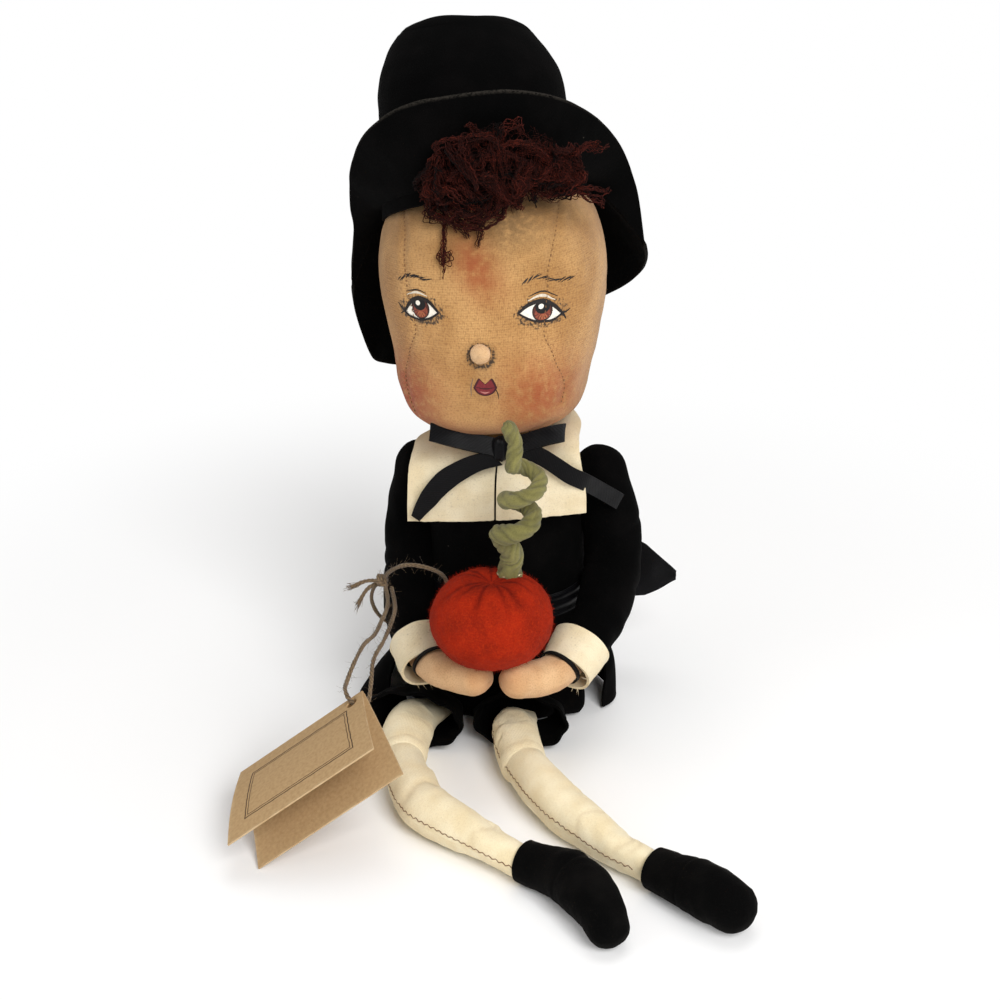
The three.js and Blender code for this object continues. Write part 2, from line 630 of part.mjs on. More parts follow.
// A ring about the wrist, its radius read from one end to the other.
function wristRing(side, radiusAt, from, to, thickness, rows) {
  const path = wristPath(side);
  const wrist = path.at(-1);
  const along = wrist.clone().sub(path.at(-2)).normalize();
  const across = along.clone().cross(Z_AXIS).normalize();
  const lift = across.clone().cross(along);
  return sheet((u, v) => {
    const turn = u * Math.PI * 2;
    const place = lerp(from, to, v);
    return wrist.clone().addScaledVector(along, place)
      .addScaledVector(across, radiusAt(place) * Math.cos(turn))
      .addScaledVector(lift, radiusAt(place) * Math.sin(turn));
  }, 14, rows, thickness, true);
}

const cuffForm = (side, thickness) => wristRing(side,
  (place) => CUFF_RADIUS - 0.1 * place, 7 - CUFF_LENGTH, 7, thickness, 2);
const trimForm = (side) => wristRing(side, () => CUFF_RADIUS - CLOTH - 2 * CLEARANCE, 2, 6, RIBBON, 1);

const sweptCoat = ARM_RANGE.map((angle) => turned(sashedGrown, X_AXIS, angle, SHOULDER));

// Pumpkin and stem

const PUMPKIN = vec(4, -86, 95.5);

function pumpkinForm(extra) {
  const levels = [-82, -66, -48, -30, -12, 6, 24, 42, 58, 72, 84];
  const rings = levels.map((level) => {
    const round = Math.cos(radians(level));
    const rise = Math.sin(radians(level));
    const gather = PUMPKIN_GATHER_DEPTH * smoothstep(rise, 0.1, 0.9) * smoothstep(round, 0.05, 0.4);
    const dip = 3.5 * smoothstep(rise, 0.93, 1);
    return Array.from({ length: 24 }, (_, s) => {
      const turn = (s / 24) * Math.PI * 2;
      const pinch = gather * (Math.cos(turn * PUMPKIN_GATHERS) < 0);
      const radius = (PUMPKIN_RADIUS + extra) * round ** 0.88 - pinch;
      return PUMPKIN.clone().add(vec(radius * Math.cos(turn), radius * Math.sin(turn),
        (PUMPKIN_HALF_HEIGHT + extra) * rise - dip));
    });
  });
  return loft(rings);
}

const STEM_ROOT = PUMPKIN.clone().add(vec(8, 2, PUMPKIN_HALF_HEIGHT - 3.4));
const stemPlace = (x, y, z) => STEM_ROOT.clone().add(vec(x, y, z));
const STEM_TURN_RADIUS = 8;
const STEM_PITCH = 20;
const STEM_TURNS = 2;
const stemPath = [stemPlace(0, 0, -3), stemPlace(1, 0, 8), stemPlace(2, 1, 17)];
for (let i = 0; i <= STEM_TURNS * 8; i += 1) {
  const turn = radians(200 + i * 45);
  const rise = 29 + (i / 8) * STEM_PITCH;
  const lean = (i / 8) * 3.4;
  const swing = STEM_TURN_RADIUS * Math.cos(turn);
  stemPath.push(stemPlace(4 + lean + swing, STEM_TURN_RADIUS * Math.sin(turn), rise));
}
stemPath.push(stemPlace(4, 0, 80), stemPlace(1, -1, 89));

const stemForm = (extra) => limb({
  path: stemPath, sides: 8, steps: 40,
  widths: [STEM_BASE_RADIUS, STEM_TIP_RADIUS + 1, STEM_TIP_RADIUS + 0.3, STEM_TIP_RADIUS],
  domes: [0, 0.5],
}, extra);
// Measures how near the curled stem comes to itself, from points on its centre line.
function stemSelfGap() {
  const curve = new THREE.CatmullRomCurve3(stemPath);
  const points = curve.getSpacedPoints(240);
  const length = curve.getLength();
  let least = Infinity;
  for (let i = 0; i < points.length; i += 1) {
    for (let j = i + 1; j < points.length; j += 1) {
      if (((j - i) / 240) * length > 5 * STEM_BASE_RADIUS) {
        least = Math.min(least, points[i].distanceTo(points[j]) - 2 * STEM_BASE_RADIUS);
      }
    }
  }
  return least;
}
console.log("stem least gap to itself, mm:", stemSelfGap().toFixed(2));

const pumpkinGrown = pumpkinForm(CLEARANCE);
add("pumpkin", carve(pumpkinForm(0), stemForm(CLEARANCE)), "wool");
add("pumpkin_stem", stemForm(0), "sage");

for (const side of Object.keys(SIDES)) {
  const sleeve = carve(sleeveForm(side, 0), armForm(side, CLEARANCE), armWire(side, CLEARANCE),
    ...sweptCoat);
  const arm = carve(armForm(side, 0), armWire(side, CLEARANCE), pumpkinGrown, ...sweptCoat);
  const cuff = carve(cuffForm(side, CLOTH), sleeveForm(side, CLEARANCE), armForm(side, CLEARANCE),
    coatGrown);
  const trim = carve(trimForm(side), sleeveForm(side, CLEARANCE), armForm(side, CLEARANCE));
  add(`${side}_sleeve`, largest(sleeve), "velvet");
  add(`${side}_arm`, largest(arm), "skin");
  add(`${side}_arm_wire`, armWire(side, 0), "steel");
  add(`${side}_cuff`, largest(cuff), "linen");
  add(`${side}_cuff_trim`, largest(trim), "satin");
}

add("bow_tail_left", largest(carve(ribbon(
  [bowPlace(3, -1.4, -6), bowPlace(15, -1, -7.5), bowPlace(32, -1, -10), bowPlace(46, 5, -14),
    bowPlace(56, 21, -22), bowPlace(66, 33, -32)], [8, 9.5], vec(0.4, 0, 0.9), 16),
bowKnotGrown, collarGrown, headGrown, sleeveForm("left", CLEARANCE))), "satin");

// Legs, breeches and shoes

const LEG_PATHS = {
  left: {
    thigh: [vec(HIP_X.left, HIP_AXIS_Y - 5, HIP_AXIS_HEIGHT + 1), vec(12.5, -58, 12.6),
      vec(16, -78, LEG_RADIUS - 0.5),
      vec(23, -95, LEG_RADIUS - 0.8)],
    shin: [vec(30.5, -109, LEG_RADIUS - 0.6), vec(38, -121, LEG_RADIUS - 0.5), vec(51, -139, 12.6),
      vec(66, -154.5, 11.8), vec(80, -167, 10.8), vec(101, -180, 10.6), vec(120, -194, 12.5)],
    shoe: [vec(101, -180, 10.8), vec(111, -187, 12), vec(124, -196.5, 14), vec(135, -205, 14.4),
      vec(141, -210, 14)],
  },
  right: {
    thigh: [vec(HIP_X.right - 10, HIP_AXIS_Y - 5, HIP_AXIS_HEIGHT + 1), vec(-44, -60, 12.6),
      vec(-45, -80, LEG_RADIUS - 0.5),
      vec(-43, -98, LEG_RADIUS - 0.8)],
    shin: [vec(-38, -114, LEG_RADIUS - 0.6), vec(-25, -144, LEG_RADIUS - 0.5), vec(-4, -161.5, 12.8),
      vec(16, -173.5, 12), vec(35, -183, 10.6), vec(52, -193, 11.5), vec(64, -204, 12.5)],
    shoe: [vec(35, -183, 10.8), vec(44, -187.5, 11.4), vec(58, -196, 13.6), vec(70, -209, 14),
      vec(78, -222, 12.6), vec(82, -231, 11)],
  },
};

const thighForm = (side, extra) => limb({
  path: LEG_PATHS[side].thigh, sides: 12, steps: 6, domes: [0.5, 1],
  widths: [13, LEG_RADIUS, LEG_RADIUS, KNEE_RADIUS], heights: [3, 11, LEG_RADIUS, KNEE_RADIUS],
}, extra);
const shinForm = (side, extra) => limb({
  path: LEG_PATHS[side].shin, sides: 12, steps: 10, domes: [0.9, 1],
  widths: [LEG_RADIUS - 1, LEG_RADIUS, LEG_RADIUS, LEG_RADIUS - 1.5, LEG_RADIUS - 3.6,
    ANKLE_RADIUS, FOOT_RADIUS],
}, extra);
const shoeForm = (side) => limb({
  path: LEG_PATHS[side].shoe, sides: 12, steps: 6, domes: [0, 0.9],
  widths: [ANKLE_RADIUS + CLOTH + CLEARANCE, 12, SHOE_RADIUS - 0.6, SHOE_RADIUS, SHOE_RADIUS - 1.6,
    SHOE_TOE_RADIUS],
}, 0);
// A ball about the knee that the shin turns on.
const kneeBall = (side) => limb({
  path: [LEG_PATHS[side].thigh.at(-1).clone().add(vec(0, 0.05, 0)), LEG_PATHS[side].thigh.at(-1).clone()],
  widths: [KNEE_RADIUS, KNEE_RADIUS], sides: 16, steps: 1,
}, 2 * CLEARANCE);

const BREECHES_PATHS = {
  left: [vec(16, HIP_AXIS_Y - 3, HIP_AXIS_HEIGHT + 3), vec(16.5, -53, 15.5), vec(16.5, -62, 17.2)],
  right: [vec(-37, HIP_AXIS_Y - 3, HIP_AXIS_HEIGHT + 3), vec(-42, -57, 15.5), vec(-44, -69, 17.6)],
};
const BREECHES_WIDTHS = { left: [19, 25, 27], right: [19, 26, 29.5] };
const BREECHES_HEIGHTS = [5, 14.6, 16.6];

function breechesForm(side, inset) {
  const path = BREECHES_PATHS[side];
  const hem = path[2].clone().sub(path[1]).normalize();
  const inner = [path[0].clone().addScaledVector(hem, inset), path[1],
    path[2].clone().addScaledVector(hem, 2)];
  const reach = inset > 0 ? inner : path;
  return limb({
    path: reach, sides: 14, steps: 4, domes: [0.4, 0],
    widths: BREECHES_WIDTHS[side].map((size) => size - inset),
    heights: BREECHES_HEIGHTS.map((size) => size - inset),
  }, 0);
}

for (const side of Object.keys(SIDES)) {
  const breeches = carve(breechesForm(side, 0), breechesForm(side, CLOTH),
    thighForm(side, CLEARANCE), hipRoll(side, CLEARANCE), FLOOR);
  const thigh = thighForm(side, 0).add(hipRoll(side, 0));
  add(`${side}_thigh`, carve(thigh, FLOOR), "stocking");
  add(`${side}_breeches`, largest(breeches), "velvet");
  add(`${side}_shin`, largest(carve(shinForm(side, 0), kneeBall(side), FLOOR)), "stocking");
  add(`${side}_shoe`, largest(carve(shoeForm(side), shinForm(side, CLEARANCE), FLOOR)), "felt");
}

// Hat

const hatted = (solid) => leaned(turned(turned(solid, X_AXIS, -HAT_TILT_BACK), Y_AXIS, -HAT_LEAN)
  .translate([HAT_SIDE, HAT_BACK, HAT_HEIGHT]));

function crownForm(extra, from, to) {
  const rings = [from, 0.4 * CROWN_LENGTH, 0.74 * CROWN_LENGTH, 0.9 * CROWN_LENGTH, to]
    .map((height) => {
      const share = height / CROWN_LENGTH;
      const round = CROWN_ROUNDING * smoothstep(share, 0.72, 1);
      const wide = lerp(CROWN_HALF_WIDTH, CROWN_TOP_HALF_WIDTH, share) - round + extra;
      const deep = lerp(CROWN_HALF_DEPTH, CROWN_TOP_HALF_DEPTH, share) - round + extra;
      return ellipse(vec(0, 0, height), X_AXIS, Y_AXIS, wide, deep, 24);
    });
  return loft(rings);
}

function brimPoint(u, v) {
  const turn = u * Math.PI * 2;
  const back = Math.max(0, Math.sin(turn));
  const front = Math.max(0, -Math.sin(turn));
  const leftFront = Math.cos(turn) > 0 && front > 0;
  const boxy = leftFront || (Math.cos(turn) < 0 && back > 0) ? 0.55 : 0.85;
  const across = Math.sign(Math.cos(turn)) * Math.abs(Math.cos(turn)) ** boxy;
  const spread = across < 0 ? 0.95 + BRIM_RIGHT_SPREAD * smoothstep(back - front, -0.35, 0.2) : 1;
  const inner = vec((CROWN_HALF_WIDTH + CLEARANCE) * Math.cos(turn),
    (CROWN_HALF_DEPTH + CLEARANCE) * Math.sin(turn), 1.4);
  const reach = back * BRIM_BACK - front * BRIM_FRONT + 23 * across ** 2;
  const outer = vec(BRIM_HALF_WIDTH * across * spread, reach, 0);
  const droop = BRIM_RIGHT_DROOP * Math.max(0, -across) * smoothstep(back, 0, 0.4);
  const drop = BRIM_SIDE_DROP + (BRIM_BACK_DROP - BRIM_SIDE_DROP) * back + droop;
  const rise = front ** (leftFront ? 0.38 : 0.75) * (BRIM_FRONT_RISE + BRIM_SIDE_DROP) - drop;
  const point = inner.clone().lerp(outer, v);
  point.z = 1.4 + rise * v ** 1.4;
  return point;
}

const brimForm = (thickness) => hatted(sheet(brimPoint, 32, 4, thickness, true));
const crownSolid = hatted(crownForm(0, -6, CROWN_LENGTH));
const brimGrown = brimForm(FELT + 2 * CLEARANCE);
const hatGrown = hatted(crownForm(CLEARANCE, -6, CROWN_LENGTH + 3));
const crownHollow = hatted(crownForm(-FELT, -10, CROWN_LENGTH + 4));
const tipRings = [CROWN_LENGTH + CLEARANCE, CROWN_LENGTH + CLEARANCE + FELT].map((height) =>
  ellipse(vec(0, 0, height), X_AXIS, Y_AXIS,
    CROWN_TOP_HALF_WIDTH - CROWN_ROUNDING, CROWN_TOP_HALF_DEPTH - CROWN_ROUNDING, 24));
add("hat_crown", largest(carve(crownSolid, crownHollow, headStill, brimGrown)), "felt");
add("hat_top", hatted(loft(tipRings)), "felt");
add("hat_brim", largest(carve(brimForm(FELT), headStill)), "felt");

// Nose and hair

const nose = limb({
  path: [vec(-0.5, -HEAD_FRONT_DEPTH - 4, 235.5), vec(-0.5, -HEAD_FRONT_DEPTH + 3, 235.5)],
  widths: [NOSE_RADIUS, NOSE_RADIUS], sides: 14, steps: 2, domes: [0.5, 0],
});
add("nose", largest(carve(leaned(nose), headStill)), "skin");

const fringe = (path, widths, heights, extra = 0) => leaned(limb({
  path, widths, heights, sides: 12, steps: 7, domes: [0.7, 0.7],
}, extra));
const hairLeft = (extra) => fringe(
  [vec(16, -59, 321), vec(38, -60, 322), vec(58, -46, 314)], [11, 12, 9], [19, 17, 12], extra);
const hairRight = (extra) => fringe(
  [vec(-22, -55, 310), vec(-6, -59, 316), vec(12, -59, 321)], [8, 11, 11], [10, 17, 19], extra);
const forelock = leaned(limb({
  path: [vec(-15, -63, 303), vec(-17, -62, 292), vec(-17.5, -61, 282), vec(-15, -60.5, 273)],
  widths: [3, 3, 2.6, 1.8], sides: 8, steps: 7, domes: [0.6, 0.6],
}));
const nape = fringe(
  [vec(-50, 34, 228), vec(-30, 52, 221), vec(0, 60, 219), vec(30, 52, 221), vec(50, 34, 228)],
  [7, 9, 9, 9, 7], [14, 20, 21, 20, 14]);
const hatTools = [headStill, brimGrown, hatGrown];
const hairLeftGrown = hairLeft(CLEARANCE);
const hairRightGrown = hairRight(CLEARANCE);
add("hair_left", largest(carve(hairLeft(0), ...hatTools)), "yarn");
add("hair_right", largest(carve(hairRight(0), ...hatTools, hairLeftGrown)), "yarn");
add("hair_forelock", largest(carve(forelock, ...hatTools, hairRightGrown)), "yarn");
add("hair_nape", largest(carve(nape, ...hatTools)), "yarn");

// Twine and tag

const KNOT = vec(-64, -43, 91);
const knotPlace = (x, y, z) => KNOT.clone().add(vec(x, y, z));
const knotForm = (extra) => limb({
  path: [knotPlace(-1, 0, 0), knotPlace(1, 0, 0)], widths: [KNOT_RADIUS, KNOT_RADIUS], sides: 10, steps: 1,
}, extra);
const knotGrown = knotForm(CLEARANCE);
const twineEnds = [
  [knotPlace(-2, -1, 0), knotPlace(-6, -5, 1), knotPlace(-10, -9, -2)],
  [knotPlace(-2, 1, -2), knotPlace(-7, -1, -5), knotPlace(-9, -4, -11)],
].map((path) => cord(path, TWINE_RADIUS, { sides: 6, steps: 4 }));

const loopPath = [knotPlace(0, 0, 0), knotPlace(7, -6, 10), knotPlace(17, -10, 16), knotPlace(29, -9, 14),
  knotPlace(36, -1, 4), knotPlace(36, 2, -10), knotPlace(33, 5, -24), knotPlace(15, 12, -38),
  knotPlace(-3, 12, -31), knotPlace(-8, 8, -18), knotPlace(-6, 5, -8), knotPlace(-0.5, 0.5, -0.5)];
const loopCord = cord(loopPath, TWINE_RADIUS, { sides: 6, steps: 36 });

const FOLD_START = vec(-56.7, -133.1, 73);
const foldAlong = vec(-0.79, -0.156, -0.593).normalize();
const backFall = vec(0.426, -0.835, -0.348).projectOnPlane(foldAlong).normalize();
const backNormal = foldAlong.clone().cross(backFall);
const LEAF_ANGLES = { back: 0, cover: TAG_OPENING };

// A point on one leaf: distance along the fold, then out from it.
function leafPlace(leaf, along, down, off = 0) {
  const angle = radians(LEAF_ANGLES[leaf]);
  const fall = backFall.clone().applyAxisAngle(foldAlong, angle);
  const normal = backNormal.clone().applyAxisAngle(foldAlong, angle);
  return FOLD_START.clone().addScaledVector(foldAlong, along)
    .addScaledVector(fall, down).addScaledVector(normal, off);
}

const HOLE_INSET = 6.5;
const leafOff = { back: -CARD / 2 - CLEARANCE, cover: CARD / 2 + CLEARANCE };

function leafForm(leaf) {
  const flared = (u, v) => u * TAG_LENGTH + (2 * u - 1) * TAG_FLARE * v;
  const fold = 2 * CLEARANCE;
  const plate = sheet((u, v) => leafPlace(leaf, flared(u, v), fold + v * (TAG_WIDTH - fold), leafOff[leaf]),
    6, 4, CARD);
  const centre = leafPlace(leaf, HOLE_INSET, HOLE_INSET);
  const normal = leafPlace(leaf, 0, 0, 1).sub(leafPlace(leaf, 0, 0, 0));
  const punch = loft([-6, 6].map((reach) => ellipse(centre.clone().addScaledVector(normal, reach),
    foldAlong, normal.clone().cross(foldAlong), TAG_HOLE_RADIUS, TAG_HOLE_RADIUS, 14)));
  return plate.subtract(punch);
}

const strandInset = HOLE_INSET - (TAG_HOLE_RADIUS - TWINE_RADIUS - CLEARANCE);
const hole = (leaf, off) => leafPlace(leaf, HOLE_INSET, strandInset, off);
const strandDown = [
  knotPlace(2, -2, -2), knotPlace(6.5, -18, -5), knotPlace(6, -35, -7), knotPlace(5, -47, -8),
  knotPlace(2, -60, -7), knotPlace(0, -75, -9), leafPlace("cover", 6, -8, 6), leafPlace("cover", 6.4, 0, 7),
  hole("cover", 4), hole("back", -4), leafPlace("back", 4, 1, -9), leafPlace("back", -1, -9, -10),
  knotPlace(8, -66, -13), knotPlace(10, -48, -11), knotPlace(11, -34, -9), knotPlace(10.5, -18, -7),
  knotPlace(5.5, -1.5, -3.5)];
const strand = cord(strandDown, TWINE_RADIUS, { sides: 6, steps: 44 });

const rightSleeveGrown = sleeveForm("right", CLEARANCE);
add("twine_loop", largest(carve(loopCord, knotGrown, rightSleeveGrown, pumpkinGrown, coatGrown)), "jute");
add("twine_knot", twineEnds.reduce((sum, end) => sum.add(end), knotForm(0)), "jute");
add("twine_strand", largest(carve(strand, knotGrown)), "jute");
add("tag_back", leafForm("back"), "card");
add("tag_cover", leafForm("cover"), "card");

export default group;
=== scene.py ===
"""Looks of a seated cloth pilgrim doll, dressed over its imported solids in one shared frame."""

import logging
import math
from dataclasses import dataclass
from enum import Enum
from typing import Any, Sequence

import bpy
import numpy as np
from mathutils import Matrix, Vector
from mathutils.bvhtree import BVHTree


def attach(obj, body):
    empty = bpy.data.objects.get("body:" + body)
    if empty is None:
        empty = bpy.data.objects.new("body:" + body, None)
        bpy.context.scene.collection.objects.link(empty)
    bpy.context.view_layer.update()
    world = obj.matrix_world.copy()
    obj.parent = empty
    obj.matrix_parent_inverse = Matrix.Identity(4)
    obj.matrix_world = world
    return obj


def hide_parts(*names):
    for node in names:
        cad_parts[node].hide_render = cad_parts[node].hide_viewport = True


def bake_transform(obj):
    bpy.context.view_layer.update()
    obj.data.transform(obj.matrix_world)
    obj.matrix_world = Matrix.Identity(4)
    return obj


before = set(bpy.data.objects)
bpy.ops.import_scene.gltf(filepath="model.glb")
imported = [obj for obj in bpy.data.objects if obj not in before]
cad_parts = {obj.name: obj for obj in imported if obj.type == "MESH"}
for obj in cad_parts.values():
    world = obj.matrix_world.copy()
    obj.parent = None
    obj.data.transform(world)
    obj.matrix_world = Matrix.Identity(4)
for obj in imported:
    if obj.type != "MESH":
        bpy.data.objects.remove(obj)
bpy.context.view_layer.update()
LOG = logging.getLogger("pilgrim_doll")
MM = 0.001
STUFFING_FRAMES = 18
SEAM_PLACES = 120
# how the head sits: degrees to the doll's right, about a point in millimetres
HEAD_LEAN = -5.0
NECK_PIVOT = np.array((0.0, 0.0, 176.0))
# a place in front of every piece, in metres
FRONT = -0.3
# the least flat size of a piece of cloth, in metres
MIN_CUT = 0.01
# both ends of a loft closed
SHUT = (True, True)
Place = tuple[float, float, float]
Points = Sequence[Sequence[float]]
Array = np.ndarray
Piece = bpy.types.Object
Tree = bpy.types.NodeTree
Finish = bpy.types.Material


class Side(Enum):
    """The doll's own left and right."""

    LEFT = "left"
    RIGHT = "right"


class Hold(Enum):
    HUNG = "hung"
    GATHERED = "gathered"
    LAID = "laid"
    FOLDED = "folded"
    STRETCHED = "stretched"


# Numbers and curves, in millimetres


def lerp(low: Any, high: Any, share: Any) -> Any:
    """Return the value a share of the way from low to high."""
    return low + (high - low) * share


def ease(value: Any, low: float, high: float) -> Any:
    """Return a smooth step from 0 at low to 1 at high."""
    share = np.clip((value - low) / (high - low), 0.0, 1.0)
    return share * share * (3.0 - 2.0 * share)


def unit(vectors: Array) -> Array:
    """Return the vectors at length one."""
    return vectors / np.maximum(np.linalg.norm(vectors, axis=-1, keepdims=True), 1e-12)


def spread(values: Sequence[float], count: int) -> Array:
    """Return the values spread evenly over a count of places."""
    return np.interp(np.linspace(0, 1, count), np.linspace(0, 1, len(values)), values)


def bell(value: Any, middle: float, width: float) -> Any:
    """Return a soft bump of height one about a middle."""
    return np.exp(-(((value - middle) / width) ** 2))


def circle(count: int) -> Array:
    """Return a count of angles evenly round one turn."""
    return np.linspace(0, 2 * np.pi, count, endpoint=False)


def run_of(path: Array) -> Array:
    """Return how far along a path each of its points lies."""
    return np.concatenate([[0], np.cumsum(np.linalg.norm(np.diff(path, axis=0), axis=1))])


def spline(points: Points, count: int, closed: bool = False) -> Array:
    """Run a centripetal curve through points and space it evenly.

    Args:
        points: the points that the curve passes through.
        count: how many points to return.
        closed: whether the last point leads back to the first.

    Returns:
        The evenly spaced points, one row each.
    """
    anchor = np.asarray(points, float)
    if closed:
        chain = np.vstack([anchor[-1:], anchor, anchor[:2]])
    else:
        chain = np.vstack([2 * anchor[:1] - anchor[1:2], anchor, 2 * anchor[-1:] - anchor[-2:-1]])
    step = np.linspace(0, 1, 40, endpoint=False)[:, None]
    parts = []
    for a, b, c, d in zip(chain, chain[1:], chain[2:], chain[3:]):
        first = max(np.linalg.norm(b - a), 1e-6) ** 0.5
        middle = max(np.linalg.norm(c - b), 1e-6) ** 0.5
        last = max(np.linalg.norm(d - c), 1e-6) ** 0.5
        leave = ((b - a) / first - (c - a) / (first + middle) + (c - b) / middle) * middle
        reach = ((c - b) / middle - (d - b) / (middle + last) + (d - c) / last) * middle
        bend = -3 * b + 3 * c - 2 * leave - reach
        twist = 2 * b - 2 * c + leave + reach
        parts.append(b + leave * step + bend * step**2 + twist * step**3)
    dense = np.vstack(parts + [chain[-2:-1]])
    run = run_of(dense)
    wanted = np.linspace(0, run[-1], count)
    return np.stack([np.interp(wanted, run, dense[:, k]) for k in range(dense.shape[1])], 1)


def length_of(path: Array) -> float:
    """Return the length of a path."""
    return float(np.linalg.norm(np.diff(path, axis=0), axis=1).sum())


def frames(path: Array, level: bool = False) -> tuple[Array, Array, Array]:
    """Give each point of a path its own three directions.

    Args:
        path: the points of the path.
        level: whether the sections stay upright instead of turning with the path.

    Returns:
        The directions along the path, across it and up from it.
    """
    along = unit(np.gradient(path, axis=0))
    upright = np.array((0.0, 0.0, 1.0))
    if level:
        across = unit(np.cross(along, upright))
    else:
        start = np.cross(along[0], upright)
        if np.linalg.norm(start) < 0.35:
            start = np.cross(along[0], (0.0, 1.0, 0.0))
        rows = [start / np.linalg.norm(start)]
        for heading in along[1:]:
            carried = rows[-1] - heading * (rows[-1] @ heading)
            rows.append(carried / np.linalg.norm(carried))
        across = np.array(rows)
    return along, across, np.cross(across, along)


def ripple(points: Array, size: float, seed: int, waves: int = 14) -> Array:
    """Return a smooth seeded unevenness, about -1 to 1, with features of a size."""
    chance = np.random.default_rng(seed)
    heading = unit(chance.normal(size=(waves, 3)))
    pace = 2 * np.pi / (size * chance.uniform(0.7, 1.6, waves))
    phase = chance.uniform(0, 2 * np.pi, waves)
    return np.sin((points @ heading.T) * pace + phase).sum(-1) / math.sqrt(2.0 * waves)


def turned(points: Array, axis: str, degrees: float) -> Array:
    """Return points turned about the X or Y axis."""
    c = math.cos(math.radians(degrees))
    s = math.sin(math.radians(degrees))
    x, y, z = np.moveaxis(points, -1, 0)
    if axis == "X":
        return np.stack([x, y * c - z * s, y * s + z * c], -1)
    return np.stack([x * c + z * s, y, -x * s + z * c], -1)


def leaned(points: Array) -> Array:
    """Return points of the head leaned to the doll's right, as the head sits."""
    return turned(np.asarray(points, float) - NECK_PIVOT, "Y", HEAD_LEAN) + NECK_PIVOT


# Meshes


def normals(rings: Array, around: bool) -> Array:
    """Return the grid's normals, outward where the grid closes around a middle."""
    if around:
        side = np.roll(rings, -1, 1) - np.roll(rings, 1, 1)
    else:
        side = np.gradient(rings, axis=1)
    found = unit(np.cross(side, np.gradient(rings, axis=0)))
    if around and ((rings - rings.mean(1, keepdims=True)) * found).sum() < 0:
        found = -found
    return found


def places(rings: Array) -> tuple[Array, Array]:
    """Return each section's share of the way along a grid, and each point's angle round it."""
    return np.linspace(0, 1, rings.shape[0])[:, None], circle(rings.shape[1])[None]


def raised(rings: Array, amount: Array, around: bool = True) -> Array:
    """Return a grid pushed out along its normals, by its own amount at each point."""
    return rings + normals(rings, around) * amount[..., None]


def ovals(wide: Any, deep: Any, height: Any, turn: Array) -> Array:
    """Return level oval sections by their half widths, half depths and heights."""
    return np.stack(np.broadcast_arrays(wide * np.cos(turn), deep * np.sin(turn), height), -1)


def spans(rings: Array) -> tuple[float, float]:
    """Return a grid's mean length along its rows, and across them."""
    wide = np.linalg.norm(np.diff(rings, axis=1), axis=-1).sum(1).mean()
    return wide, np.linalg.norm(np.diff(rings, axis=0), axis=-1).sum(0).mean()


@dataclass
class Skin:
    """Points, faces and face corners' places on the cloth, in millimetres."""

    points: Array
    faces: list[list[int]]
    corners: list[list[float]]


def skin(
    rings: Array,
    around: bool = True,
    poles: tuple[bool, bool] = (False, False),
    wall: float = 0.0,
    flat: Array | None = None,
) -> Skin:
    """Cover a grid of points with faces.

    Args:
        rings: rows of points, each row a section.
        around: whether each row closes on itself.
        poles: whether the first and the last row close to a point.
        wall: the thickness of a shell about the grid, or 0 for one closed skin.
        flat: each point's place on the flat cloth, or None to lay out rows and columns.

    Returns:
        The skin, with its faces outward.
    """
    rows, cols = rings.shape[:2]
    turns = cols if around else cols - 1
    i, j = np.mgrid[0 : rows - 1, 0:turns]
    k = (j + 1) % cols
    quads = np.stack([i * cols + j, i * cols + k, (i + 1) * cols + k, (i + 1) * cols + j], -1)
    quads = quads.reshape(-1, 4)
    if flat is None:
        wide, tall = spans(rings)
        wide = wide * turns / (cols - 1)
        flat = np.stack(np.meshgrid(np.linspace(0, wide, turns + 1), np.linspace(0, tall, rows)), -1)
    elif around:
        flat = np.concatenate([flat, flat[:, :1]], 1)
    place = np.stack([flat[i, j], flat[i, j + 1], flat[i + 1, j + 1], flat[i + 1, j]], -2).reshape(-1, 4, 2)
    if wall:
        offset = normals(rings, around) * wall / 2
        layers = [rings + offset, rings - offset]
    else:
        layers = [rings]
    points: list[Array] = []
    faces: list[list[int]] = []
    corners: list[list[float]] = []
    inner = rows * cols + sum(poles)
    for turn, layer in enumerate(layers):
        base = turn * inner
        order = slice(None) if turn == 0 else slice(None, None, -1)
        points.append(layer.reshape(-1, 3))
        faces += (quads + base)[:, order].tolist()
        corners += place[:, order].reshape(-1, 2).tolist()
        tip = base + rows * cols
        for end, row in ((0, 0), (1, rows - 1)):
            if not poles[end]:
                continue
            points.append(layer[row].mean(0, keepdims=True))
            for a in range(turns):
                edge = [base + row * cols + a, base + row * cols + (a + 1) % cols, tip]
                spots = [flat[row, a], flat[row, a + 1], (flat[row, a] + flat[row, a + 1]) / 2]
                back = (end == 0) != (turn == 1)
                faces.append(edge[::-1] if back else edge)
                corners += spots[::-1] if back else spots
            tip += 1
    rims = []
    if wall:
        for end, row in ((0, 0), (1, rows - 1)):
            if not poles[end]:
                rims += [((row, a), (row, a + 1), end == 0) for a in range(turns)]
        for end, col in ((0, 0), (1, cols - 1)):
            if not around:
                rims += [((a, col), (a + 1, col), end == 1) for a in range(rows - 1)]
    for (r0, c0), (r1, c1), back in rims:
        a = r0 * cols + c0
        b = r1 * cols + c1 % cols
        edge = [a, b, inner + b, inner + a]
        spots = [flat[r0, c0], flat[r1, c1], flat[r1, c1], flat[r0, c0]]
        faces.append(edge[::-1] if back else edge)
        corners += spots[::-1] if back else spots
    return Skin(np.vstack(points), faces, corners)


def linked(name: str, data: Any) -> Piece:
    """Return a new object with some data, linked to the scene."""
    made = bpy.data.objects.new(name, data)
    bpy.context.scene.collection.objects.link(made)
    return made


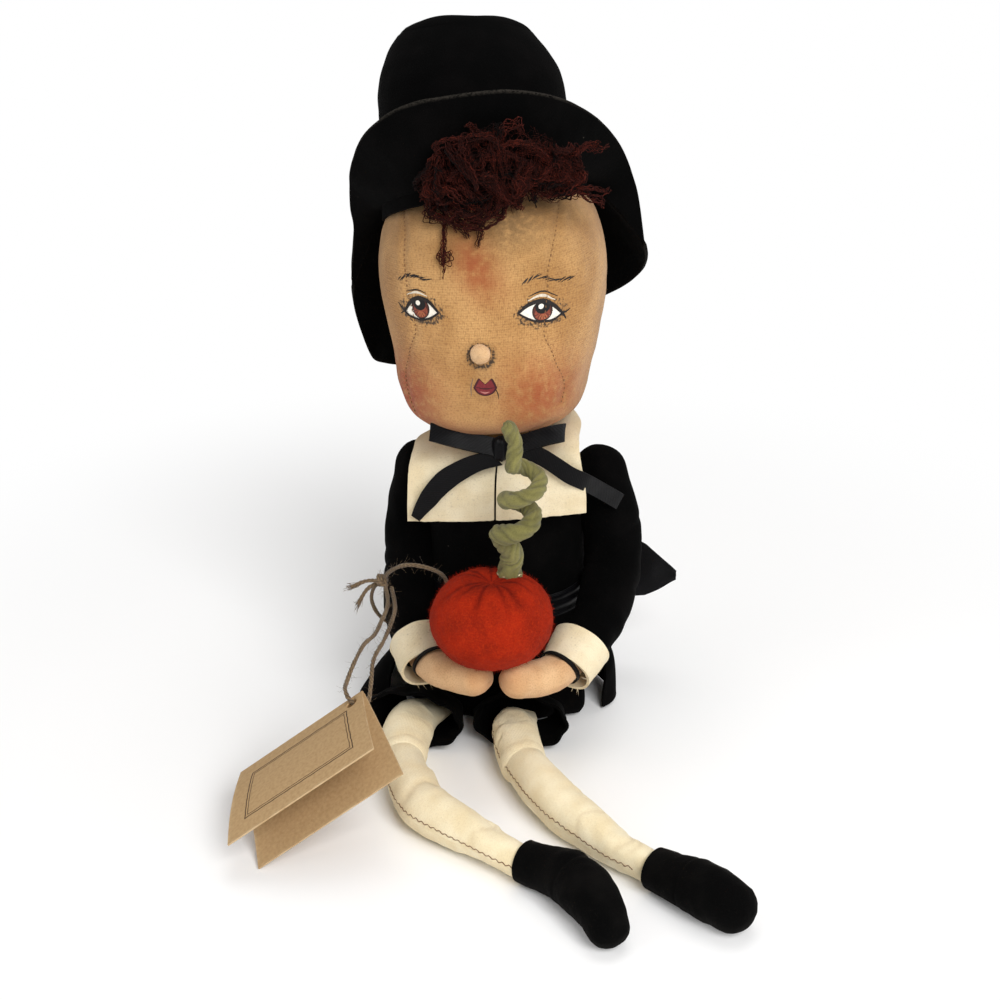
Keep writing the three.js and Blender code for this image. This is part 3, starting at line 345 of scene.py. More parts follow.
def shown(name: str, made: Skin, sharp: float = 55.0) -> Piece:
    """Turn a skin into an object at the origin, in metres, with its faces outward.

    Args:
        name: the piece's name.
        made: the skin.
        sharp: edges over this angle stay crisp, in degrees.

    Returns:
        The new object, linked to the scene.
    """
    tri = np.array([[f[0], f[n], f[n + 1]] for f in made.faces for n in range(1, len(f) - 1)])
    a, b, c = (made.points[tri[:, n]] for n in range(3))
    faces = made.faces
    corners = np.array(made.corners)
    if (a * np.cross(b, c)).sum() < 0:
        sizes = np.cumsum([0] + [len(f) for f in faces])
        corners = np.concatenate([corners[s:e][::-1] for s, e in zip(sizes, sizes[1:])])
        faces = [f[::-1] for f in faces]
    mesh = bpy.data.meshes.new(name)
    mesh.from_pydata((made.points * MM).tolist(), [], faces)
    layer = mesh.uv_layers.new(name="UVMap")
    layer.data.foreach_set("uv", corners.astype(np.float32).ravel())
    mesh.shade_smooth()
    mesh.set_sharp_from_angle(angle=math.radians(sharp))
    mesh.update()
    return linked(name, mesh)


def loft(
    name: str,
    rings: Array,
    around: bool = True,
    poles: tuple[bool, bool] = (False, False),
    wall: float = 0.0,
    sharp: float = 55.0,
    flat: Array | None = None,
) -> Piece:
    """Make an object from one grid of points, as skin and shown do."""
    return shown(name, skin(rings, around, poles, wall, flat), sharp)


def corners_of(piece: Piece) -> Array:
    """Return a piece's points in millimetres."""
    flat = np.empty(len(piece.data.vertices) * 3, np.float32)
    piece.data.vertices.foreach_get("co", flat)
    return flat.reshape(-1, 3).astype(float) / MM


def move_to(piece: Piece, points: Array) -> None:
    """Set a piece's first points, given in millimetres, and leave the rest."""
    made = corners_of(piece)
    flat = points.reshape(-1, 3)
    made[: len(flat)] = flat
    piece.data.vertices.foreach_set("co", (made * MM).astype(np.float32).ravel())
    piece.data.update()


def paint_share(piece: Piece, name: str, shares: Array) -> None:
    """Keep a share from 0 to 1 at each point of a grid, on both faces of a shell, for the finish."""
    values = np.zeros(len(piece.data.vertices), np.float32)
    whole = np.tile(np.ravel(shares), len(values) // shares.size)
    values[: whole.size] = np.clip(whole, 0, 1)
    layer = piece.data.attributes.new(name, "FLOAT", "POINT")
    layer.data.foreach_set("value", values)


def cut_of(rings: Array, around: bool = False) -> tuple[float, float]:
    """Return the flat width and length, in metres, of the cloth that a grid was cut from."""
    cols = rings.shape[1]
    wide, tall = spans(rings)
    wide *= cols / (cols - 1) if around else 1.0
    return max(MIN_CUT, wide * MM), max(MIN_CUT, tall * MM)


def stuff(piece: Piece, pressure: float, cap: float, slack: float = 0.0) -> None:
    """Swell a stuffed piece with Blender's cloth, so that its skin puckers as sewn cloth does.

    Args:
        piece: the closed piece, slightly smaller than its finished form.
        pressure: the push of the stuffing.
        cap: the most that a point moves, in millimetres.
        slack: the share of spare cloth that goes into puckers.
    """
    rest = corners_of(piece)
    cloth = piece.modifiers.new("stuffing", "CLOTH")
    cloth.settings.quality = 4
    cloth.settings.mass = 0.2
    cloth.settings.tension_stiffness = 12.0
    cloth.settings.compression_stiffness = 12.0
    cloth.settings.bending_stiffness = 0.15
    cloth.settings.shrink_min = -slack
    cloth.settings.use_pressure = True
    cloth.settings.uniform_pressure_force = pressure
    cloth.settings.effector_weights.gravity = 0.0
    cloth.collision_settings.use_collision = False
    for number in range(1, STUFFING_FRAMES + 1):
        bpy.context.scene.frame_set(number)
    change = corners_of(piece.evaluated_get(bpy.context.evaluated_depsgraph_get())) - rest
    piece.modifiers.remove(cloth)
    bpy.context.scene.frame_set(1)
    change -= change.mean(0)
    far = np.linalg.norm(change, axis=1, keepdims=True)
    move_to(piece, rest + change * np.minimum(1.0, cap / np.maximum(far, 1e-9)))


def fit(
    piece: Piece,
    body: str,
    slot: str,
    *nodes: str,
    finish: str = "",
    fill: float | None = None,
    held: Hold | None = None,
    cut: tuple[float, float] | None = None,
    rests_on: Sequence[str] = (),
) -> Piece:
    """Dress a finished piece and set it on its body.

    Args:
        piece: the piece, with its place in its mesh.
        body: the body that carries it.
        slot: the material slot, which gives the finish.
        nodes: the solids that it stands for.
        finish: its finish's name, where that isn't the slot's.
        fill: how full a stuffed piece is, from 0 to 1; not used.
        held: how a piece of cloth is held; not used.
        cut: the cloth's flat width and length in metres; not used.
        rests_on: what the cloth lies on or hangs from; not used.

    Returns:
        The same piece.
    """
    if not piece.data.materials:
        piece.data.materials.append(FINISHES[finish or slot])
    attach(piece, body)
    if nodes:
        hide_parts(*nodes)
    LOG.info("%s on %s: %d faces", piece.name, body, len(piece.data.polygons))
    return piece


# Finishes


def linear(code: str) -> tuple[float, float, float, float]:
    """Turn an sRGB hex colour into a linear one."""
    parts = [int(code[n : n + 2], 16) / 255 for n in (1, 3, 5)]
    made = [p / 12.92 if p <= 0.04045 else ((p + 0.055) / 1.055) ** 2.4 for p in parts]
    return made[0], made[1], made[2], 1.0


def add(tree: Tree, kind: str, inputs: dict[Any, Any] | None = None, **settings: Any) -> bpy.types.Node:
    """Add a node with its settings, and set or link its inputs.

    Args:
        tree: the tree that takes the node.
        kind: Blender's name of the node.
        inputs: by the input's name or number, a value, another node's output, or a node, which
            stands for its first output.
        settings: the node's own settings.

    Returns:
        The new node.
    """
    made = tree.nodes.new(kind)
    for key, value in settings.items():
        setattr(made, key, value)
    for key, value in (inputs or {}).items():
        if isinstance(value, bpy.types.Node):
            value = value.outputs[0]
        if isinstance(value, bpy.types.NodeSocket):
            tree.links.new(value, made.inputs[key])
        else:
            made.inputs[key].default_value = value
    return made


ATTRIBUTE = "ShaderNodeAttribute"
MAPPING = "ShaderNodeMapping"
MATH = "ShaderNodeMath"
NOISE = "ShaderNodeTexNoise"
RANGE = "ShaderNodeMapRange"
UV = "ShaderNodeUVMap"
VECTOR = "ShaderNodeVectorMath"
WAVE = "ShaderNodeTexWave"
# Blender's wave texture has this period at a scale of one
WAVE_PERIOD = 0.314


def blank(name: str, **values: Any) -> tuple[Finish, Tree, bpy.types.Node]:
    """Start a material with one shader, and set the shader's constant inputs."""
    material = bpy.data.materials.new(name)
    material.use_nodes = True
    tree = material.node_tree
    tree.nodes.clear()
    shader = add(
        tree, "ShaderNodeBsdfPrincipled", {key.replace("_", " "): value for key, value in values.items()}
    )
    add(tree, "ShaderNodeOutputMaterial", {"Surface": shader})
    return material, tree, shader


def dyed(tree: Tree, tone: Any, *layers: Sequence[Any]) -> Any:
    """Lay colours over a tone, one after another, each by its own value.

    Args:
        tree: the material's tree.
        tone: the first colour, or its output.
        layers: for each colour the value that it follows, where it starts, where it is full, the
            most that it covers, its code, and how it mixes when that isn't plainly. Without a start
            the value itself is the share.

    Returns:
        The output with every colour on it.
    """
    for value, start, full, most, code, *blend in layers:
        share = value
        if start is not None:
            share = add(
                tree, RANGE, {"Value": value, "From Min": start, "From Max": full, "To Max": most},
                interpolation_type="SMOOTHSTEP",
            )
        tone = add(
            tree, "ShaderNodeMix", {0: share, 6: tone, 7: linear(code)},
            data_type="RGBA", blend_type=(blend or ["MIX"])[0],
        ).outputs[2]
    return tone


def surfaced(
    tree: Tree, shader: bpy.types.Node, tone: Any, height: Any, relief: float, strength: float
) -> None:
    """Give a shader its colour, and a relief as deep as a number of millimetres."""
    bump = add(tree, "ShaderNodeBump", {"Height": height, "Distance": relief * MM, "Strength": strength})
    tree.links.new(tone, shader.inputs["Base Color"])
    tree.links.new(bump.outputs["Normal"], shader.inputs["Normal"])


@dataclass(frozen=True)
class PlainWeave:
    """Plain woven cotton: crossed threads, slubs, seed flecks and an uneven tea-dyed tone."""

    name: str
    cloth: str
    shade: str
    fleck: str
    thread: float = 0.62
    relief: float = 0.16
    flecks: float = 0.35
    fleck_size: float = 1.0
    speckle: float = 0.3
    stains_and_shade: tuple[tuple[str, str, float], ...] = ()
    stipple: str = ""

    def material(self) -> Finish:
        """Build the cloth's nodes, on the cloth's own places in millimetres."""
        material, tree, shader = blank(
            self.name, Roughness=0.92, Sheen_Weight=0.12, Sheen_Roughness=0.6, IOR=1.46
        )
        place = add(tree, UV, uv_map="UVMap")
        threads = []
        for way, stretch in (("X", (0.09, 1.1, 1.0)), ("Y", (1.1, 0.09, 1.0))):
            wave = add(
                tree, WAVE,
                {
                    "Vector": place, "Scale": WAVE_PERIOD / self.thread, "Distortion": 1.6, "Detail": 2.0,
                    "Detail Scale": 1.4,
                },
                bands_direction=way,
            )
            drawn = add(tree, MAPPING, {"Vector": place, "Scale": stretch})
            slub = add(tree, NOISE, {"Vector": drawn, "Scale": 1.0, "Detail": 3.0})
            threads.append(add(tree, MATH, {0: wave.outputs["Fac"], 1: slub}, operation="MULTIPLY"))
        height = add(tree, MATH, {0: threads[0], 1: threads[1]}, operation="ADD")
        blotch = add(tree, NOISE, {"Vector": place, "Scale": 0.06, "Detail": 4.0})
        worn = add(tree, NOISE, {"Vector": place, "Scale": 1.3, "Detail": 4.0})
        seed = add(tree, NOISE, {"Vector": place, "Scale": 0.9 / self.fleck_size, "Detail": 3.0})
        tone = dyed(
            tree, linear(self.cloth), (blotch, 0.34, 0.68, 1.0, self.shade),
            # the low places between the threads are painted darker, a painted shade in the weave
            (height, 0.75, 0.2, 0.22, self.shade, "MULTIPLY"),
            (worn, 0.45, 0.7, self.speckle, self.fleck, "MULTIPLY"),
            (seed, 0.6, 0.7, self.flecks, self.fleck),
        )
        # each marked tint in turn: real stains, brushed cheek colour, and painted shade in creases, under
        # the hat and round the nose
        for attribute, colour, most in self.stains_and_shade:
            share = add(tree, ATTRIBUTE, attribute_name=attribute).outputs["Fac"]
            amount = add(tree, MATH, {0: share, 1: most}, operation="MULTIPLY")
            rubbed = add(tree, NOISE, {"Vector": place, "Scale": 0.35, "Detail": 4.0})
            tone = dyed(tree, tone, (rubbed, 0.1, 0.62, amount, colour))
        # grey stipple, which round the nose is a painted shadow of the nose button
        if self.stipple:
            share = add(tree, ATTRIBUTE, attribute_name=self.stipple).outputs["Fac"]
            grain = add(tree, NOISE, {"Vector": place, "Scale": 1.2, "Detail": 3.0})
            level = add(tree, MATH, {0: share, 1: 0.5, 2: grain}, operation="MULTIPLY_ADD")
            tone = dyed(tree, tone, (level, 0.74, 0.98, 0.9, "#241d1a"))
        surfaced(tree, shader, tone, height, self.relief, 1.0)
        return material


@dataclass(frozen=True)
class Pile:
    """Black cotton velvet or wool felt: a dull dark nap that shows lint, and on a marked rim a painted
    highlight.
    """

    name: str
    pile: str
    nap: str
    lint: str
    fibre: float
    relief: float
    sheen: float
    lint_share: float
    worn: str = ""

    def material(self) -> Finish:
        """Build the nap's nodes on Object coordinates, in metres."""
        material, tree, shader = blank(
            self.name, Roughness=0.95, Sheen_Weight=self.sheen, Sheen_Roughness=0.42,
            Sheen_Tint=linear("#6f6a66"), Specular_IOR_Level=0.05,
        )
        place = add(tree, "ShaderNodeTexCoord").outputs["Object"]
        brushed = add(tree, NOISE, {"Vector": place, "Scale": 1 / 0.022, "Detail": 5.0})
        fibres = add(
            tree, NOISE, {"Vector": place, "Scale": 1 / (self.fibre * MM), "Detail": 4.0, "Distortion": 0.6}
        )
        # lint lies about 12 mm apart, each speck half a millimetre, a little larger than real to show
        swirl = add(tree, NOISE, {"Vector": place, "Scale": 260.0, "Detail": 2.0}).outputs["Color"]
        bent = add(tree, VECTOR, {0: swirl, 1: (0.004, 0.004, 0.004), 2: place}, operation="MULTIPLY_ADD")
        cells = add(tree, "ShaderNodeTexVoronoi", {"Vector": bent, "Scale": 1 / 0.012})
        chosen = add(tree, "ShaderNodeSeparateColor", {"Color": cells.outputs["Color"]})
        bare = 1 - self.lint_share
        kept = add(
            tree, RANGE, {"Value": chosen, "From Min": bare, "From Max": bare + 0.02, "To Max": 0.5},
            interpolation_type="SMOOTHSTEP",
        )
        tone = dyed(
            tree, linear(self.pile),
            (brushed, 0.4, 0.75, 1.0, self.nap), (fibres, 0.55, 0.75, 0.7, self.nap),
            (cells, 0.05, 0.025, kept, self.lint),
        )
        # a marked rim is painted lighter in the lint colour, a painted highlight where an edge catches the
        # light
        if self.worn:
            share = add(tree, ATTRIBUTE, attribute_name=self.worn).outputs["Fac"]
            tone = dyed(tree, tone, (fibres, 0.3, 0.6, share, self.lint))
        surfaced(tree, shader, tone, fibres, self.relief, 0.8)
        return material


@dataclass(frozen=True)
class Satin:
    """Black satin ribbon: long floats that gleam along the width, with a fine ribbed weave."""

    name: str
    thread: str
    gleam: str
    rough: float = 0.42

    def material(self) -> Finish:
        """Build the satin's nodes on the ribbon's own places in millimetres."""
        material, tree, shader = blank(
            self.name, Specular_IOR_Level=0.14, Sheen_Weight=0.02, Sheen_Roughness=0.3, Anisotropic=0.5
        )
        place = add(tree, UV, uv_map="UVMap")
        # floats are 0.3 mm in a real ribbon and drawn at 0.9 mm so that they show
        floats = add(
            tree, WAVE,
            {
                "Vector": place, "Scale": WAVE_PERIOD / 0.9, "Distortion": 2.5, "Detail": 2.0,
                "Detail Scale": 2.0,
            },
            bands_direction="DIAGONAL",
        )
        cross = add(tree, NOISE, {"Vector": place, "Scale": 1.1, "Detail": 3.0})
        weave = add(tree, MATH, {0: floats.outputs["Fac"], 1: cross}, operation="MULTIPLY")
        # the floats are painted lighter in the gleam colour, a painted sheen
        tone = dyed(tree, linear(self.thread), (weave, 0.25, 0.6, 0.8, self.gleam))
        gloss = add(tree, RANGE, {"Value": cross, "To Min": self.rough - 0.1, "To Max": self.rough + 0.2})
        tree.links.new(gloss.outputs["Result"], shader.inputs["Roughness"])
        surfaced(tree, shader, tone, weave, 0.12, 0.9)
        return material


@dataclass(frozen=True)
class FeltedWool:
    """Needle-felted wool or crimped yarn: matted fibres of mixed shades under a soft fuzz."""

    name: str
    wool: str
    deep: str
    light: str
    fibre: float
    relief: float
    sheen: float
    shade_and_tone: str

    def material(self) -> Finish:
        """Build the matted fibres on Object coordinates, in metres."""
        material, tree, shader = blank(
            self.name, Roughness=0.95, Sheen_Weight=self.sheen, Sheen_Roughness=0.5,
            Sheen_Tint=linear(self.light), Specular_IOR_Level=0.15,
        )
        place = add(tree, "ShaderNodeTexCoord").outputs["Object"]
        cloud = add(tree, NOISE, {"Vector": place, "Scale": 1 / 0.014, "Detail": 4.0})
        size = 0.2 / (self.fibre * MM)
        ways = (((0.3, 0.9, 0.2), (1, 5, 5)), ((1.1, 0.2, 0.7), (5, 1, 5)), ((0, 0.5, 1.3), (5, 5, 1)))
        mats = []
        for turn, squeeze in ways:
            drawn = add(tree, MAPPING, {"Vector": place, "Rotation": turn, "Scale": squeeze})
            matted = {"Vector": drawn, "Scale": size, "Detail": 4.0, "Distortion": 0.8}
            mats.append(add(tree, NOISE, matted))
        first = add(tree, MATH, {0: mats[0], 1: mats[1]}, operation="MAXIMUM")
        height = add(tree, MATH, {0: first, 1: mats[2]}, operation="MAXIMUM")
        # a marked share darkens the wool: painted shade in creases and among the inner strands, with a
        # random tone per strand on the yarn
        share = add(tree, ATTRIBUTE, attribute_name=self.shade_and_tone).outputs["Fac"]
        tone = dyed(
            tree, linear(self.wool),
            (cloud, 0.35, 0.7, 1.0, self.deep), (height, 0.52, 0.72, 0.55, self.light),
            (height, 0.56, 0.4, 0.5, self.deep), (share, None, None, None, self.deep, "MULTIPLY"),
        )
        surfaced(tree, shader, tone, height, self.relief, 1.0)
        return material


@dataclass(frozen=True)
class KraftCard:
    """Kraft card: brown paper pulp with pale and dark fibres, scuffed lighter along its edges."""

    name: str
    card: str
    deep: str
    fibre: str

    def material(self) -> Finish:
        """Build the pulp on the card's own places in millimetres."""
        material, tree, shader = blank(self.name, Roughness=0.82, Specular_IOR_Level=0.3)
        place = add(tree, UV, uv_map="UVMap")
        pulp = add(tree, NOISE, {"Vector": place, "Scale": 0.5, "Detail": 6.0})
        lean = add(tree, MAPPING, {"Vector": place, "Rotation": (0, 0, 0.5), "Scale": (0.25, 2, 1)})
        strands = add(tree, NOISE, {"Vector": lean, "Scale": 1.2, "Detail": 3.0})
        share = add(tree, ATTRIBUTE, attribute_name="scuff").outputs["Fac"]
        tone = dyed(
            tree, linear(self.card),
            (pulp, 0.3, 0.75, 1.0, self.deep), (strands, 0.6, 0.72, 0.4, self.fibre),
            (strands, 0.4, 0.3, 0.15, self.deep, "MULTIPLY"), (share, None, None, None, self.fibre),
        )
        surfaced(tree, shader, tone, strands, 0.08, 0.8)
        return material


@dataclass(frozen=True)
class Jute:
    """Jute twine: coarse brown fibres laid in a twist, with pale hairs standing off."""

    name: str
    fibre: str
    pale: str
    deep: str

    def material(self) -> Finish:
        """Build the laid fibres on the cord's own places in millimetres."""
        material, tree, shader = blank(self.name, Roughness=0.9, Sheen_Weight=0.2, Specular_IOR_Level=0.25)
        place = add(tree, UV, uv_map="UVMap")
        laid = add(tree, MAPPING, {"Vector": place, "Rotation": (0, 0, 0.6), "Scale": (3.0, 0.5, 1)})
        grain = add(tree, NOISE, {"Vector": laid, "Scale": 1.3, "Detail": 4.0})
        # three plies go round once in 7 mm, so a groove comes every 2 mm across and 2.3 mm along; the
        # grooves are painted darker, a painted shade between the plies
        groove = add(tree, VECTOR, {0: place, 1: (1.6, -1.35, 0)}, operation="DOT_PRODUCT")
        wave = add(tree, MATH, {0: groove.outputs["Value"]}, operation="COSINE")
        depth = add(tree, MATH, {0: wave}, operation="ABSOLUTE")
        tone = dyed(
            tree, linear(self.fibre),
            (grain, 0.42, 0.7, 1.0, self.pale), (grain, 0.45, 0.3, 0.8, self.deep),
            (depth, 0.62, 0.12, 0.95, self.deep),
        )
        surfaced(tree, shader, tone, grain, 0.2, 1.0)
        return material


@dataclass(frozen=True)
class Grained:
    """A hard inner piece, such as a wooden dowel or a steel wire, with its own grain."""

    name: str
    colour: str
    deep: str
    grain: Place
    rough: float
    metal: float = 0.0
    relief: float = 0.05

    def material(self) -> Finish:
        """Build the grain on Object coordinates, in metres."""
        material, tree, shader = blank(self.name, Metallic=self.metal)
        place = add(tree, "ShaderNodeTexCoord").outputs["Object"]
        drawn = add(tree, MAPPING, {"Vector": place, "Scale": self.grain})
        streak = add(tree, NOISE, {"Vector": drawn, "Scale": 1.0, "Detail": 5.0})
        tone = dyed(tree, linear(self.colour), (streak, 0.35, 0.7, 1.0, self.deep))
        gloss = add(
            tree, RANGE, {"Value": streak, "To Min": self.rough - 0.08, "To Max": self.rough + 0.12}
        )
        tree.links.new(gloss.outputs["Result"], shader.inputs["Roughness"])
        surfaced(tree, shader, tone, streak, self.relief, 0.6)
        return material


@dataclass(frozen=True)
class FabricPaint:
    """Thin acrylic paint brushed on cloth: matt, a little uneven, the weave still showing."""

    name: str
    colour: str
    thin: str

    def material(self) -> Finish:
        """Build the brushed paint on Object coordinates, in metres."""
        material, tree, shader = blank(self.name, Roughness=0.6, Specular_IOR_Level=0.35)
        place = add(tree, "ShaderNodeTexCoord").outputs["Object"]
        brush = add(tree, NOISE, {"Vector": place, "Scale": 1 / 0.0011, "Detail": 3.0})
        tone = dyed(tree, linear(self.colour), (brush, 0.42, 0.75, 0.75, self.thin))
        surfaced(tree, shader, tone, brush, 0.08, 0.6)
        return material


# every finish of the doll, by the slot that it serves or by its own name
CLOTHS = {
    # muslin dyed with tea: tan, open and flecked, with brushed-on cheek colour and grey stipple, and
    # painted shade under the hair and brim and round the nose
    "muslin": PlainWeave(
        "tea_dyed_muslin", "#c79a60", "#ae8048", "#8a6236", flecks=0.2, speckle=0.38, stipple="stipple_and_nose_shade",
        stains_and_shade=(("blush_and_shade", "#983b10", 0.95), ("smudge", "#5d4527", 0.75)),
    ),
    "skin": PlainWeave(
        "pale_muslin", "#e6bf90", "#d5a878", "#a87a48", flecks=0.16, stains_and_shade=(("blush_and_shade", "#c98f5e", 0.8),)
    ),
    "nose": PlainWeave("cream_muslin", "#e6c499", "#d6ad7d", "#b28a5a", flecks=0.12),
    # unbleached calico of the legs: cream with brown seed flecks, its creases painted darker as painted
    # shade
    "stocking": PlainWeave(
        "unbleached_calico", "#fbefce", "#f1e0b8", "#b59a70", flecks=0.16, speckle=0.14,
        stains_and_shade=(("blush_and_shade", "#c4a676", 0.6),),
    ),
    "linen": PlainWeave(
        "cream_cotton_duck", "#f4e7c8", "#e8d7b2", "#8d7a5e", thread=0.7, flecks=0.22,
        fleck_size=1.6, speckle=0.12, stains_and_shade=(("blush_and_shade", "#d3c19c", 0.6),),
    ),
    # sage cotton of the stem, its wrinkles' valleys painted darker, a painted shade
    "sage": PlainWeave(
        "sage_cotton", "#8a8449", "#76703a", "#565630", thread=0.6, flecks=0.2, speckle=0.25,
        stains_and_shade=(("blush_and_shade", "#4b4824", 0.85),),
    ),
    "pellets": PlainWeave("bag_calico", "#d9cdb4", "#c9bb9d", "#8d7a5e", thread=1.4),
    "plush": Pile(
        "black_panne_velvet", "#040404", "#0d0c0b", "#5e5953",
        fibre=0.9, relief=0.25, sheen=0.1, lint_share=0.3,
    ),
    "velvet": Pile(
        "black_cotton_velvet", "#020202", "#070606", "#5e5953",
        fibre=0.9, relief=0.25, sheen=0.025, lint_share=0.3,
    ),
    # the felt's marked rim is painted lighter, a painted highlight along the brim's edge
    "felt": Pile(
        "black_wool_felt", "#020202", "#060505", "#5a544c",
        fibre=1.3, relief=0.3, sheen=0.02, lint_share=0.45, worn="edge",
    ),
    "satin": Satin("black_satin_ribbon", "#030304", "#131216"),
    "wool": FeltedWool(
        "orange_felted_wool", "#9c2106", "#841a05", "#b2320d",
        fibre=0.8, relief=0.45, sheen=0.08, shade_and_tone="gather",
    ),
    "yarn": FeltedWool(
        "auburn_boucle_yarn", "#330f0b", "#140504", "#7c301d",
        fibre=0.6, relief=0.3, sheen=0.03, shade_and_tone="strand",
    ),
    "card": KraftCard("brown_kraft_card", "#b99a70", "#ab8b62", "#cdb590"),
    "ink": FabricPaint("brown_ink", "#3b2a1c", "#5a4530"),
    "jute": Jute("jute_twine", "#665340", "#9c8664", "#2e2218"),
    "thread": Jute("brown_sewing_thread", "#74502f", "#916b44", "#573a22"),
    "wood": Grained("birch_dowel", "#d8b98a", "#b98f5c", grain=(500, 500, 25), rough=0.6),
    "steel": Grained(
        "steel_wire", "#b9bcc0", "#8d9094", grain=(60, 60, 900), rough=0.3, metal=1.0, relief=0.01
    ),
}
FINISHES: dict[str, Finish] = {}


# Geometry Nodes: stitches along a line, and fibres on a surface


def socketed(name: str, numbers: Sequence[str]) -> tuple[Tree, Any]:
    """Start a geometry tree with a geometry, some numbers, a seed and a material as inputs."""
    tree = bpy.data.node_groups.new(name, "GeometryNodeTree")
    kinds = [("Geometry", "Geometry")] + [(number, "Float") for number in numbers]
    for label, kind in kinds + [("Seed", "Int"), ("Finish", "Material")]:
        tree.interface.new_socket(label, in_out="INPUT", socket_type="NodeSocket" + kind)
    tree.interface.new_socket("Geometry", in_out="OUTPUT", socket_type="NodeSocketGeometry")
    return tree, add(tree, "NodeGroupInput").outputs


def ended(tree: Tree, placed: Any, finish: Any) -> Tree:
    """Close a geometry tree with real meshes and their material."""
    plain = add(tree, "GeometryNodeRealizeInstances", {"Geometry": placed})
    coloured = add(tree, "GeometryNodeSetMaterial", {"Geometry": plain, "Material": finish})
    add(tree, "NodeGroupOutput", {"Geometry": coloured})
    return tree


def stitch_tree() -> Tree:
    """Return a tree that lays one small thread bead at each stitch along a line."""
    tree, given = socketed("running_stitch", ("Pitch", "Half Length", "Half Width"))
    line = add(tree, "GeometryNodeMeshToCurve", {"Mesh": given["Geometry"]})
    spaced = add(
        tree, "GeometryNodeResampleCurve", {"Curve": line, "Length": given["Pitch"]}, mode="LENGTH"
    )
    heading = add(tree, "GeometryNodeInputTangent")
    aimed = add(tree, "FunctionNodeAlignRotationToVector", {"Vector": heading}, axis="Z")
    bead = add(tree, "GeometryNodeMeshUVSphere", {"Segments": 6, "Rings": 4, "Radius": 1.0})
    thin = given["Half Width"]
    size = add(tree, "ShaderNodeCombineXYZ", {"X": thin, "Y": thin, "Z": given["Half Length"]})
    uneven = add(
        tree, "FunctionNodeRandomValue", {2: 0.75, 3: 1.15, "Seed": given["Seed"]}, data_type="FLOAT"
    ).outputs[1]
    scaled = add(tree, VECTOR, {0: size, "Scale": uneven}, operation="SCALE")
    placed = add(
        tree, "GeometryNodeInstanceOnPoints",
        {"Points": spaced, "Instance": bead, "Rotation": aimed, "Scale": scaled},
    )
    return ended(tree, placed, given["Finish"])


def fuzz_tree() -> Tree:
    """Return a tree that stands fine tapered fibres over a surface, leaning every way."""
    tree, given = socketed("standing_fibres", ("Density", "Length", "Half Width", "Lean"))
    seed = given["Seed"]
    dots = add(
        tree, "GeometryNodeDistributePointsOnFaces",
        {"Mesh": given["Geometry"], "Density": given["Density"], "Seed": seed},
    )
    fibre = add(
        tree, "GeometryNodeMeshCone",
        {"Vertices": 3, "Side Segments": 2, "Radius Bottom": given["Half Width"], "Depth": given["Length"]},
        fill_type="NONE",
    )
    tilt = add(
        tree, "FunctionNodeRandomValue", {0: (-1, -1, -1), 1: (1, 1, 1), "Seed": seed},
        data_type="FLOAT_VECTOR",
    )
    leaning = add(tree, VECTOR, {0: tilt, "Scale": given["Lean"]}, operation="SCALE")
    heading = add(tree, VECTOR, {0: leaning, 1: dots.outputs["Normal"]}, operation="ADD")
    aimed = add(tree, "FunctionNodeAlignRotationToVector", {"Vector": heading}, axis="Z")
    placed = add(
        tree, "GeometryNodeInstanceOnPoints", {"Points": dots, "Instance": fibre, "Rotation": aimed}
    )
    return ended(tree, placed, given["Finish"])


def grown(name: str, carrier: Piece, tree: Tree, spent: bool = True, **sizes: Any) -> Piece:
    """Run a geometry tree on a carrier and keep its result as a plain mesh.

    Args:
        name: the new piece's name.
        carrier: the line or surface that the tree reads.
        tree: the tree to run.
        spent: whether the carrier goes, as it was made for the tree alone.
        sizes: the tree's inputs by name, with _ for a space.

    Returns:
        The new object, linked to the scene.
    """
    modifier = carrier.modifiers.new("growth", "NODES")
    modifier.node_group = tree
    for item in tree.interface.items_tree:
        key = item.name.replace(" ", "_")
        if item.in_out == "INPUT" and key in sizes:
            modifier[item.identifier] = sizes[key]
    bpy.context.view_layer.update()
    graph = bpy.context.evaluated_depsgraph_get()
    mesh = bpy.data.meshes.new_from_object(carrier.evaluated_get(graph))
    carrier.modifiers.remove(modifier)
    mesh.name = name
    if spent:
        bpy.data.objects.remove(carrier)
    return linked(name, mesh)


def thread_line(name: str, lines: Sequence[Array]) -> Piece:
    """Return a bare object whose edges run along some lines, for stitches to follow."""
    edges = []
    base = 0
    for line in lines:
        edges += [(base + n, base + n + 1) for n in range(len(line) - 1)]
        base += len(line)
    mesh = bpy.data.meshes.new(name)
    mesh.from_pydata((np.vstack(lines) * MM).tolist(), edges, [])
    return linked(name, mesh)


def surface_of(piece: Piece) -> BVHTree:
    """Return a piece's surface for finding points on it, in metres."""
    mesh = piece.data
    return BVHTree.FromPolygons([v.co[:] for v in mesh.vertices], [p.vertices[:] for p in mesh.polygons])


def met(ground: BVHTree, x: float, z: float) -> tuple[Any, Any]:
    """Return where a line from the front meets a surface, and the surface's normal there."""
    hit, normal, _, _ = ground.ray_cast(Vector((x * MM, FRONT, z * MM)), Vector((0, 1, 0)))
    return hit, normal


def seam_path(
    ground: BVHTree, line: Array, way: Array, outside: float = 30.0, off: float = 0.12
) -> Array:
    """Return where rays from outside meet a surface beside a line, a thread's thickness off it."""
    found = []
    for at, out in zip(line, way):
        hit, normal, _, _ = ground.ray_cast(Vector((at + out * outside) * MM), Vector(-out))
        if hit is not None:
            found.append(np.array(hit) / MM + np.array(normal) * off)
    return np.array(found)[::3]


# Stuffed limbs and ribbons


